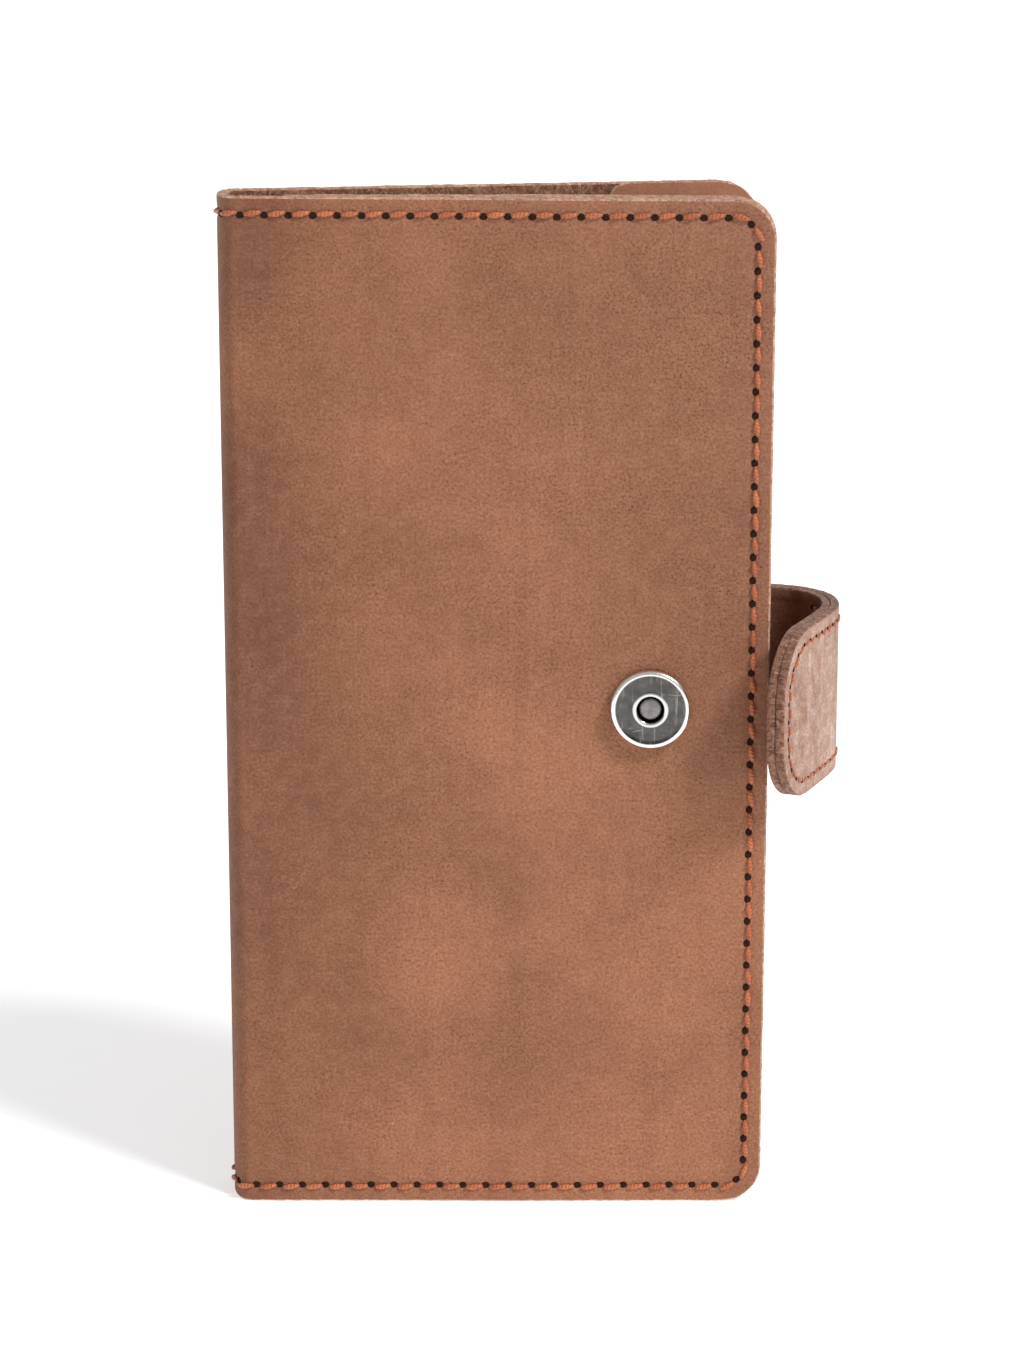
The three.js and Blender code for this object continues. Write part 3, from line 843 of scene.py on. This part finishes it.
# A shape turned about the line straight out of the leather at u, half way up the strap.
def turnedPiece(name, profile, place, u, finish):
    base = pointAt(place, u, strap["middle"], -snap["proud"])
    out = (pointAt(place, u, strap["middle"], -1.0) - pointAt(place, u, strap["middle"])).normalized()
    side = out.orthogonal().normalized()
    other = out.cross(side)
    vertices, faces, rings = [], [], []
    for radius, height in profile:
        centre = base + out * height * mm
        if radius == 0:
            rings.append([len(vertices)] * snap["sides"])
            vertices.append(centre)
            continue
        rings.append(list(range(len(vertices), len(vertices) + snap["sides"])))
        for k in range(snap["sides"]):
            turn = 2 * math.pi * k / snap["sides"]
            vertices.append(centre + (side * math.cos(turn) + other * math.sin(turn)) * radius * mm)
    for one, two in zip(rings, rings[1:]):
        for k in range(snap["sides"]):
            n = (k + 1) % snap["sides"]
            corners = [one[k], one[n], two[n], two[k]]
            faces.append(list(dict.fromkeys(corners)))
    return closedPiece(name, np.array([list(v) for v in vertices]), faces, (finish,))


# Nickel plate with painted reflection: a face painted dark and scratched, inside a rolled rim painted bright
# as a highlight, with a lip painted light and, on the cap, a hole painted dark as shade.
def paintedReflectionPlate(name, look, place, u):
    middle = pointAt(place, u, strap["middle"])
    axis = (pointAt(place, u, strap["middle"], -1.0) - middle).normalized()
    material, tree, shader = newFinish(name)
    there = node(tree, "ShaderNodeTexCoord").outputs["Object"]
    off = node(tree, "ShaderNodeVectorMath", {0: there, 1: tuple(middle)}, operation="SUBTRACT").outputs[0]
    along = node(tree, "ShaderNodeVectorMath", {0: off, 1: tuple(axis)}, operation="DOT_PRODUCT")
    ahead = node(tree, "ShaderNodeVectorMath", {0: tuple(axis)}, operation="SCALE")
    tree.links.new(along.outputs["Value"], ahead.inputs["Scale"])
    flat = node(tree, "ShaderNodeVectorMath", {0: off, 1: ahead.outputs[0]}, operation="SUBTRACT").outputs[0]
    away = node(tree, "ShaderNodeVectorMath", {0: flat}, operation="LENGTH").outputs["Value"]
    haze = noiseOf(tree, off, look["hazeScale"], 4, 0.6)
    lines = scaled(tree, off, look["scratchScale"], turn=look["scratchTurn"])
    scratch = noiseOf(tree, lines, 1.0, 4, 0.7, 0.3)
    scratch = product(tree, ramp(tree, scratch, 0.56, 0.64), ramp(tree, haze, 0.4, 0.6, 0.25, 1))
    crossLines = scaled(tree, off, look["crossScale"], turn=look["crossTurn"])
    crossing = ramp(tree, noiseOf(tree, crossLines, 1.0, 3, 0.6, 0.2), 0.62, 0.68, 0, 0.7)
    scratch = maths(tree, "MAXIMUM", scratch, crossing)
    # painted reflection: the face, rim, lip and hole rings are coloured as the plate's reflections and the
    # shade in its hole, and scratches take the highlight colour
    tone = mixed(tree, ramp(tree, haze, 0.35, 0.68), look["face"], look["paintedFaceReflectionLight"])
    tone = mixed(tree, product(tree, scratch, look["scratches"]), tone, look["rim"])
    tone = mixed(tree, ramp(tree, away, look["rimFrom"] * mm, look["rimTo"] * mm), tone, look["rim"])
    tone = mixed(tree, ramp(tree, away, look["lipFrom"] * mm, look["lipTo"] * mm), tone, look["lip"])
    tone = mixed(tree, ramp(tree, away, look["holeFrom"] * mm, look["holeTo"] * mm), tone, look["hole"])
    tree.links.new(tone, shader.inputs["Base Color"])
    rough = ramp(tree, haze, 0.3, 0.7, look["roughness"], look["roughness"] + 0.12)
    rough = maths(tree, "ADD", rough, product(tree, scratch, 0.18))
    tree.links.new(rough, shader.inputs["Roughness"])
    normal = bumped(tree, scratch, 0.12, 0.00003)
    tree.links.new(bumped(tree, haze, 0.2, 0.0001, normal), shader.inputs["Normal"])
    shader.inputs["Metallic"].default_value = 1.0
    return material


steelScale = {"haze": 900, "grit": 5200}


def steelFinish(name, base, light, roughness, metallic=1.0):
    material, tree, shader = newFinish(name)
    place = node(tree, "ShaderNodeTexCoord").outputs["Object"]
    haze = noiseOf(tree, place, steelScale["haze"], 4, 0.65)
    grit = noiseOf(tree, place, steelScale["grit"], 3, 0.6)
    tree.links.new(mixed(tree, ramp(tree, haze, 0.35, 0.65), base, light), shader.inputs["Base Color"])
    tree.links.new(ramp(tree, haze, 0.3, 0.7, roughness, roughness + 0.15), shader.inputs["Roughness"])
    tree.links.new(bumped(tree, maths(tree, "ADD", haze, grit), 0.35, 0.00008), shader.inputs["Normal"])
    shader.inputs["Metallic"].default_value = metallic
    return material


# painted reflection and shade: dark face, bright rim and lip, dark hole
plateLook = {
    "face": (0.07, 0.066, 0.06, 1),
    "paintedFaceReflectionLight": (0.13, 0.12, 0.113, 1),
    "rim": (0.93, 0.92, 0.88, 1),
    "lip": (0.7, 0.69, 0.66, 1),
    "hole": (0.12, 0.12, 0.12, 1),
    "rimFrom": 6.05,
    "rimTo": 6.3,
    "lipFrom": 3.2,
    "lipTo": 3.0,
    "holeFrom": 2.5,
    "holeTo": 2.38,
    "hazeScale": 420,
    "scratchScale": (1400, 900, 90),
    "scratchTurn": (20, 50, 15),
    "crossScale": (300, 1000, 1500),
    "crossTurn": (70, 10, 40),
    "roughness": 0.12,
    "scratches": 0.3,
}
# on the stud the face is painted lighter and the post painted bright, as reflection
studLook = dict(plateLook, hole=(0.8, 0.8, 0.77, 1), face=(0.4, 0.4, 0.39, 1))
nickelFinish = paintedReflectionPlate("scratchedNickelPaintedReflection", plateLook, onFront, snap["place"])
studFinish = paintedReflectionPlate("studNickelPaintedReflection", studLook, onStrap, studPlace)
rivetFinish = steelFinish("dullRivetSteel", (0.2, 0.19, 0.185, 1), (0.34, 0.32, 0.31, 1), 0.38)
washerFinish = steelFinish("washerSteel", (0.3, 0.3, 0.3, 1), (0.5, 0.5, 0.48, 1), 0.45)
ferriteFinish = steelFinish("darkFerrite", (0.03, 0.03, 0.035, 1), (0.07, 0.07, 0.075, 1), 0.55, 0.3)
snapCap = turnedPiece("snapCap", snap["cap"], onFront, snap["place"], nickelFinish)
snapRivet = turnedPiece("snapRivet", snap["rivet"], onFront, snap["place"], rivetFinish)
snapStud = turnedPiece("snapStud", snap["stud"], onStrap, studPlace, studFinish)
frame["nodes"]["snap_female_washer"].data.materials[0] = washerFinish
frame["nodes"]["snap_male_washer"].data.materials[0] = washerFinish
frame["nodes"]["snap_female_magnet"].data.materials[0] = ferriteFinish
print("wallet: snap made")


threadLook = {
    "base": colour(170, 84, 40),
    "second": colour(196, 106, 56),
    # painted shade in the grooves between the plies
    "groove": colour(112, 50, 24),
    "fuzz": colour(244, 176, 122),
    "plyScale": (3.2, 1.0, 1),
    "hazeScale": 160,
    "fuzzScale": 5000,
}
# painted shade of the stitch holes
holeShadeLook = {
    "base": colour(34, 20, 14),
    "second": colour(58, 34, 24),
    "hazeScale": 3000,
}
stitchLook = {
    "rings": 9,
    "sides": 8,
    "endSink": 0.35,
    "endTaper": 0.6,
    "plyDepth": 0.16,
    "plyTurn": 0.9,
    "flatten": 0.82,
    "holeSides": 12,
    "holeSteps": ((1.0, -0.2), (1.0, 0.15), (0.6, 0.13)),
}


def threadFinish():
    material, tree, shader = newFinish("waxedTwistedThread")
    uv = node(tree, "ShaderNodeUVMap", uv_map="ply").outputs["UV"]
    place = node(tree, "ShaderNodeTexCoord").outputs["Object"]
    twist = node(tree, "ShaderNodeTexWave", {
        "Vector": scaled(tree, uv, threadLook["plyScale"]), "Scale": 1.0, "Distortion": 0.4, "Detail": 1.0,
    }, wave_type="BANDS", bands_direction="DIAGONAL").outputs["Fac"]
    haze = noiseOf(tree, place, threadLook["hazeScale"], 3, 0.6)
    fuzz = noiseOf(tree, place, threadLook["fuzzScale"], 3, 0.7)
    tone = mixed(tree, ramp(tree, haze, 0.35, 0.65), threadLook["base"], threadLook["second"])
    # painted shade: the ply grooves are darkened
    tone = mixed(tree, ramp(tree, twist, 0.35, 0.05, 0, 0.55), tone, threadLook["groove"])
    tone = mixed(tree, ramp(tree, fuzz, 0.55, 0.75, 0, 0.5), tone, threadLook["fuzz"])
    tree.links.new(tone, shader.inputs["Base Color"])
    tree.links.new(ramp(tree, fuzz, 0.3, 0.7, 0.42, 0.6), shader.inputs["Roughness"])
    normal = bumped(tree, twist, 0.7, 0.0001)
    tree.links.new(bumped(tree, fuzz, 0.4, 0.00005, normal), shader.inputs["Normal"])
    shader.inputs["Sheen Weight"].default_value = 0.2
    return material


def holeShadeFinish():
    material, tree, shader = newFinish("paintedStitchHoleShade")
    place = node(tree, "ShaderNodeTexCoord").outputs["Object"]
    haze = noiseOf(tree, place, holeShadeLook["hazeScale"], 3, 0.6)
    tone = mixed(tree, ramp(tree, haze, 0.35, 0.65), holeShadeLook["base"], holeShadeLook["second"])
    tree.links.new(tone, shader.inputs["Base Color"])
    tree.links.new(ramp(tree, haze, 0.3, 0.7, 0.85, 1.0), shader.inputs["Roughness"])
    tree.links.new(bumped(tree, haze, 0.5, 0.0002), shader.inputs["Normal"])
    shader.inputs["Specular IOR Level"].default_value = 0.1
    return material


# One stitch along X, its ends sunk in the leather, from two plies twisted together.
def twistedStitch():
    rings, sides = stitchLook["rings"], stitchLook["sides"]
    length, radius = seam["pitch"] * seam["length"], seam["thread"] / 2
    last = rings - 1
    vertices, faces, uvs = [], [], []
    for i in range(rings):
        share = i / last * 2 - 1
        arch = (1 - share ** 4) * seam["lift"] - abs(share) ** 6 * stitchLook["endSink"]
        size = radius * (1 - stitchLook["endTaper"] * abs(share) ** 3)
        for k in range(sides):
            turn = 2 * math.pi * k / sides
            ply = math.cos(2 * (turn - share * math.pi * stitchLook["plyTurn"]))
            lobe = size * (1 + stitchLook["plyDepth"] * ply)
            y = lobe * math.cos(turn)
            z = arch + stitchLook["flatten"] * lobe * math.sin(turn)
            vertices.append((mm * share * length / 2, mm * y, mm * z))
    for i in range(last):
        for k in range(sides):
            n = (k + 1) % sides
            faces.append((i * sides + k, (i + 1) * sides + k, (i + 1) * sides + n, i * sides + n))
            near, far = i / last, (i + 1) / last
            low, high = k / sides, (k + 1) / sides
            uvs += [(near, low), (far, low), (far, high), (near, high)]
    faces.append(tuple(range(sides)))
    faces.append(tuple(range(rings * sides - 1, last * sides - 1, -1)))
    uvs += [(0, 0)] * sides + [(1, 0)] * sides
    return tool("stitchTool", vertices, faces, uvs)


# A small oval, painted dark as the shade inside its stitch hole, that lies in its hole's rim.
def stitchHole():
    sides, vertices, faces = stitchLook["holeSides"], [], []
    for size, height in stitchLook["holeSteps"]:
        for k in range(sides):
            turn = 2 * math.pi * k / sides
            radius = mm * seam["hole"] * size
            vertices.append((radius * 1.1 * math.cos(turn), radius * 0.95 * math.sin(turn), mm * height))
    for i in range(2):
        for k in range(sides):
            n = (k + 1) % sides
            faces.append((i * sides + k, i * sides + n, (i + 1) * sides + n, (i + 1) * sides + k))
    faces.append(tuple(range(2 * sides, 3 * sides)))
    faces.append(tuple(range(sides - 1, -1, -1)))
    return tool("holeTool", vertices, faces, [(0, 0)] * sum(len(face) for face in faces))


def tool(name, vertices, faces, uvs):
    mesh = bpy.data.meshes.new(name)
    mesh.from_pydata(vertices, [], faces)
    layer = mesh.uv_layers.new(name="ply")
    layer.data.foreach_set("uv", np.array(uvs, np.float32).ravel())
    mesh.polygons.foreach_set("use_smooth", np.ones(len(faces), bool))
    mesh.update()
    made = bpy.data.objects.new(name, mesh)
    bpy.context.scene.collection.objects.link(made)
    return made


def seamTree():
    tree = bpy.data.node_groups.new("stitchesAlongSeam", "GeometryNodeTree")
    tree.is_modifier = True
    face = tree.interface
    face.new_socket("Geometry", in_out="OUTPUT", socket_type="NodeSocketGeometry")
    inputs = {
        "Geometry": "Geometry", "Stitch": "Object", "Hole": "Object", "Stitches": "Int",
        "Half pitch share": "Float", "Sideways": "Float", "Slant": "Float", "Unevenness": "Float",
        "Seed": "Int", "Size": "Float", "Thread finish": "Material", "Hole finish": "Material",
    }
    for name, kind in inputs.items():
        face.new_socket(name, in_out="INPUT", socket_type="NodeSocket" + kind)
    group = node(tree, "NodeGroupInput").outputs
    curve = node(tree, "GeometryNodeMeshToCurve", {"Mesh": group["Geometry"]}).outputs["Curve"]
    out = node(tree, "GeometryNodeInputNamedAttribute", {"Name": "outward"}, data_type="FLOAT_VECTOR")
    tangent = node(tree, "GeometryNodeInputTangent").outputs["Tangent"]
    up = node(tree, "FunctionNodeAlignRotationToVector", {"Vector": out.outputs["Attribute"]}, axis="Z")
    facing = node(tree, "FunctionNodeAlignRotationToVector", {
        "Rotation": up.outputs["Rotation"], "Vector": tangent}, axis="X", pivot_axis="Z").outputs["Rotation"]

    # one hole more than there are stitches
    holeCount = maths(tree, "ADD", group["Stitches"], 1.0)
    holePoints = node(tree, "GeometryNodeResampleCurve", {
        "Curve": curve, "Count": holeCount}).outputs["Curve"]
    holeShape = node(tree, "GeometryNodeObjectInfo", {"Object": group["Hole"]}).outputs["Geometry"]
    holes = node(tree, "GeometryNodeInstanceOnPoints", {
        "Points": holePoints, "Instance": holeShape, "Rotation": facing, "Scale": group["Size"],
    }).outputs["Instances"]
    holes = node(tree, "GeometryNodeRealizeInstances", {"Geometry": holes}).outputs["Geometry"]
    holes = node(tree, "GeometryNodeSetMaterial", {"Geometry": holes, "Material": group["Hole finish"]})

    # stitches lie half way between the holes
    last = maths(tree, "SUBTRACT", 1.0, group["Half pitch share"])
    inner = node(tree, "GeometryNodeTrimCurve", {"Curve": curve}, mode="FACTOR")
    tree.links.new(group["Half pitch share"], inner.inputs[2])
    tree.links.new(last, inner.inputs[3])
    middles = node(tree, "GeometryNodeResampleCurve", {
        "Curve": inner.outputs["Curve"], "Count": group["Stitches"]}).outputs["Curve"]
    loose = maths(tree, "SUBTRACT", 1.0, group["Unevenness"])
    tight = maths(tree, "ADD", 1.0, group["Unevenness"])
    low = node(tree, "ShaderNodeCombineXYZ", {"X": loose, "Y": loose, "Z": loose}).outputs[0]
    high = node(tree, "ShaderNodeCombineXYZ", {"X": 1.0, "Y": tight, "Z": tight}).outputs[0]
    size = node(tree, "FunctionNodeRandomValue", {"Seed": group["Seed"]}, data_type="FLOAT_VECTOR")
    tree.links.new(low, size.inputs[0])
    tree.links.new(high, size.inputs[1])
    sized = node(tree, "ShaderNodeVectorMath", {0: size.outputs[0]}, operation="SCALE")
    tree.links.new(group["Size"], sized.inputs["Scale"])
    stitchShape = node(tree, "GeometryNodeObjectInfo", {"Object": group["Stitch"]}).outputs["Geometry"]
    stitches = node(tree, "GeometryNodeInstanceOnPoints", {
        "Points": middles, "Instance": stitchShape, "Rotation": facing, "Scale": sized.outputs[0],
    }).outputs["Instances"]
    shift = node(tree, "ShaderNodeCombineXYZ", {"Y": group["Sideways"]}).outputs[0]
    stitches = node(tree, "GeometryNodeTranslateInstances", {
        "Instances": stitches, "Translation": shift}).outputs["Instances"]
    wobble = node(tree, "FunctionNodeRandomValue", {"Seed": group["Seed"]}, data_type="FLOAT")
    tree.links.new(product(tree, group["Slant"], 0.5), wobble.inputs[2])
    tree.links.new(product(tree, group["Slant"], 1.6), wobble.inputs[3])
    spin = node(tree, "ShaderNodeCombineXYZ", {"Z": wobble.outputs[1]}).outputs[0]
    stitches = node(tree, "GeometryNodeRotateInstances", {
        "Instances": stitches, "Rotation": spin}).outputs["Instances"]
    stitches = node(tree, "GeometryNodeRealizeInstances", {"Geometry": stitches}).outputs["Geometry"]
    stitches = node(tree, "GeometryNodeSetMaterial", {
        "Geometry": stitches, "Material": group["Thread finish"]})
    both = node(tree, "GeometryNodeJoinGeometry")
    tree.links.new(holes.outputs[0], both.inputs[0])
    tree.links.new(stitches.outputs[0], both.inputs[0])
    realized = node(tree, "GeometryNodeRealizeInstances", {"Geometry": both.outputs[0]}).outputs["Geometry"]
    node(tree, "NodeGroupOutput", {"Geometry": realized})
    return tree


thread = threadFinish()
paintedHoleShade = holeShadeFinish()
stitchTool = twistedStitch()
holeTool = stitchHole()
stitching = seamTree()


# A path object for one run of stitches; outside is the depth of the face it lies on.
def seamPart(place, line, outside, relief, seed, flip=False, stitch=coverStitch):
    facing, size = 1 if flip else -1, stitch["size"]
    u, z = line[:, 0], line[:, 1]
    depth = outside(u) if callable(outside) else outside + 0 * u
    at = place(u, z, depth + facing * relief(u, z))
    out = place(u, z, depth + facing) - place(u, z, depth)
    out = out / np.linalg.norm(out, axis=1)[:, None]
    mesh = bpy.data.meshes.new("seamPath")
    mesh.from_pydata(at.tolist(), [(i, i + 1) for i in range(len(at) - 1)], [])
    path = bpy.data.objects.new("seamPath", mesh)
    bpy.context.scene.collection.objects.link(path)
    keepAttribute(path, "outward", out)
    count = stitchCount(line, stitch)
    settings = {
        "Stitch": stitchTool,
        "Hole": holeTool,
        "Stitches": count,
        "Half pitch share": 0.5 / count,
        "Sideways": seam["sideways"] * mm * size * -facing,
        "Size": size,
        "Slant": math.radians(seam["slant"]),
        "Unevenness": seam["uneven"],
        "Seed": seed,
        "Thread finish": thread,
        "Hole finish": paintedHoleShade,
    }
    modifier = path.modifiers.new("stitches", "NODES")
    modifier.node_group = stitching
    for item in stitching.interface.items_tree:
        if item.in_out == "INPUT" and item.name in settings:
            modifier[item.identifier] = settings[item.name]
    shown = path.evaluated_get(bpy.context.evaluated_depsgraph_get())
    made = bpy.data.meshes.new_from_object(shown)
    bpy.data.objects.remove(path)
    return made


# Joins the runs of one seam into a single plain mesh.
def seamPiece(name, meshes):
    parts = []
    for mesh in meshes:
        part = bpy.data.objects.new(name, mesh)
        bpy.context.scene.collection.objects.link(part)
        parts.append(part)
    with bpy.context.temp_override(active_object=parts[0], selected_editable_objects=parts,
                                   selected_objects=parts):
        bpy.ops.object.join()
    parts[0].name = name
    return parts[0]


# The depth of the innermost layer on the front cover.
def steppedDepth(u):
    depth = np.where(u > panels["start"], innerDepth + panels["leather"], cover["leather"])
    for k, mouth in enumerate(panels["mouths"]):
        depth = np.where(u > mouth, depth + panels["gap"] + panels["card"], depth)
    return depth


frontInsideLine = hideSeam[hideSeam[:, 0] > panels["mouths"][-1] + 2]
seamFront = seamPiece("seamFront", [
    seamPart(onFrontHide, hideSeam, 0.0, hideRelief(1), 3),
    seamPart(onFront, frontInsideLine, steppedDepth, noRelief, 5, flip=True)])

# the back's seam stops above and below the strap's root
middle = len(hideSeam) // 2
topRun = hideSeam[:middle][hideSeam[:middle, 1] > strapHigh + 1]
footRun = hideSeam[middle:][hideSeam[middle:, 1] < strapLow - 1]
backInsideLine = hideSeam[hideSeam[:, 0] > panels["pocketSleeve"] + 4]
seamBack = seamPiece("seamBack", [
    seamPart(onBackHide, topRun, 0.0, hideRelief(-1), 7),
    seamPart(onBackHide, footRun, 0.0, hideRelief(-1), 8),
    seamPart(onBack, backInsideLine, innerDepth + panels["leather"], noRelief, 12, flip=True)])

tipRun = tipSeam[tipSeam[:, 0] >= strapMid]
rootRuns = [rootSeam]
for height in (strapHigh - strap["seamMargin"], strapLow + strap["seamMargin"]):
    rootRuns.append(np.array([(t, height) for t in np.arange(seamStart, strapMid, seam["step"])]))
seamStrapTip = seamPiece("seamStrapTip", [
    seamPart(onOuterFace, tipRun, 0.0, strapRelief, 21, stitch=strapStitch),
    seamPart(onStrap, tipRun, 0.0, noRelief, 23, stitch=strapStitch)])
seamStrapRoot = seamPiece("seamStrapRoot", [
    seamPart(onOuterFace, run, 0.0, strapRelief, 31 + k, stitch=strapStitch)
    for k, run in enumerate(rootRuns)])
for shape in (stitchTool, holeTool):
    bpy.data.objects.remove(shape)
print("wallet: seams stitched")


# The piece rides one body, or, where it spans the joint between two, is only baked in place.
def settle(piece, nodes, body=None, pair=None, between=None):
    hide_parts(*nodes)
    if pair:
        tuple(between[0])
        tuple(between[1])
        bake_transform(piece)
    else:
        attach(piece, body)


settle(coverFrontHide, ["cover_front"], pair=("spine", "front"), between=frontBend)
settle(coverBackHide, ["cover_back", "cover_spine"], pair=("back", "spine"),
       between=backBend[::-1])
settle(frontInnerPanel, ["front_inner_panel"], "front")
for k, panel in enumerate(cardPanels):
    settle(panel, ["card_panel_" + str(k + 1)], "front")
settle(backPocketPanel, ["back_pocket_panel"], "back")
rootPair, tipPair = ("back", "strap_loop"), ("strap_loop", "strap_tip")
settle(strapOuterRoot, ["strap_root_outer", "strap_loop_outer"], pair=rootPair,
       between=(rootFace, loopIn))
settle(strapLiningRoot, ["strap_root_lining", "strap_loop_lining"], pair=rootPair,
       between=(rootFace, loopIn))
settle(strapOuterTip, ["strap_tip_outer"], pair=tipPair, between=(loopOut, tipIn))
settle(strapLiningTip, ["strap_tip_lining"], pair=tipPair, between=(loopOut, tipIn))
settle(snapCap, ["snap_female_cap"], "front")
settle(snapRivet, ["snap_female_rivet"], "front")
settle(snapStud, ["snap_male_stud"], "strap_tip")
settle(seamFront, ["thread_front"], pair=("spine", "front"), between=frontBend)
settle(seamBack, ["thread_back_upper", "thread_back_lower", "thread_spine_top",
                                  "thread_spine_foot"], pair=("back", "spine"), between=backBend[::-1])
settle(seamStrapRoot, ["thread_strap_root", "thread_loop_top", "thread_loop_foot"],
       pair=rootPair, between=(rootFace, loopIn))
settle(seamStrapTip, ["thread_tip"], pair=tipPair, between=(loopOut, tipIn))


# Floor, light and camera.
studio = {
    "floorSize": 30.0,  # metres
    "sky": 0.42,
    "floorGlow": 0.46,
    "key": 2.6,
    "keyAzimuth": 48.0,
    "keyHeight": 46.0,
    "keySoftness": 14.0,
    "eyeFromCrease": (7.55, -647.4, 257.9),  # from the front crease's foot
    "eyeTurn": -3.5,
    "eyePitch": 14.0,
    "lens": 100.2,
    "sensor": 36,
    "nearest": 0.02,  # metres, as is the next
    "furthest": 60,
    "floorDark": (0.9, 0.9, 0.905, 1),
    "floorLight": (0.93, 0.93, 0.935, 1),
    "floorGrain": 900,
}
floorMesh = bpy.data.meshes.new("studioFloor")
halfFloor = studio["floorSize"] / 2
floorMesh.from_pydata([(-halfFloor, -halfFloor, 0), (halfFloor, -halfFloor, 0), (halfFloor, halfFloor, 0),
                       (-halfFloor, halfFloor, 0)], [], [(0, 1, 2, 3)])
studioFloor = bpy.data.objects.new("studioFloor", floorMesh)
bpy.context.scene.collection.objects.link(studioFloor)
floorFinish, floorTree, floorShader = newFinish("palePaperFloor")
floorPlace = node(floorTree, "ShaderNodeTexCoord").outputs["Object"]
floorGrain = ramp(floorTree, noiseOf(floorTree, floorPlace, studio["floorGrain"], 3, 0.6), 0.3, 0.7)
floorTone = mixed(floorTree, floorGrain, studio["floorDark"], studio["floorLight"])
floorTree.links.new(floorTone, floorShader.inputs["Base Color"])
floorShader.inputs["Roughness"].default_value = 0.9
floorShader.inputs["Specular IOR Level"].default_value = 0.1
floorShader.inputs["Emission Color"].default_value = (1, 1, 1, 1)
floorShader.inputs["Emission Strength"].default_value = studio["floorGlow"]
floorMesh.materials.append(floorFinish)

world = bpy.data.worlds.new("studioSky")
world.use_nodes = True
skyShader = world.node_tree.nodes["Background"]
skyShader.inputs["Color"].default_value = (1, 1, 1, 1)
skyShader.inputs["Strength"].default_value = studio["sky"]
bpy.context.scene.world = world
keyLight = bpy.data.lights.new("keyLight", "SUN")
keyLight.energy = studio["key"]
keyLight.angle = math.radians(studio["keySoftness"])
keyLamp = bpy.data.objects.new("keyLight", keyLight)
bpy.context.scene.collection.objects.link(keyLamp)
azimuth, rise = math.radians(studio["keyAzimuth"]), math.radians(studio["keyHeight"])
towards = Vector((math.sin(azimuth) * math.cos(rise), -math.cos(azimuth) * math.cos(rise), math.sin(rise)))
keyLamp.location = towards
keyLamp.rotation_euler = towards.to_track_quat("Z", "Y").to_euler()

camera = bpy.data.cameras.new("camera")
camera.lens = studio["lens"]
camera.sensor_width = studio["sensor"]
camera.sensor_fit = "AUTO"
camera.clip_start = studio["nearest"]
camera.clip_end = studio["furthest"]
eye = bpy.data.objects.new("camera", camera)
bpy.context.scene.collection.objects.link(eye)
eye.location = Vector((frontCrease.x, frontCrease.y, 0)) + Vector(studio["eyeFromCrease"]) * mm
eye.rotation_euler = (math.radians(90 - studio["eyePitch"]), 0, math.radians(studio["eyeTurn"]))
bpy.context.scene.camera = eye
bpy.context.scene.view_settings.view_transform = "Standard"
print("wallet: studio set")
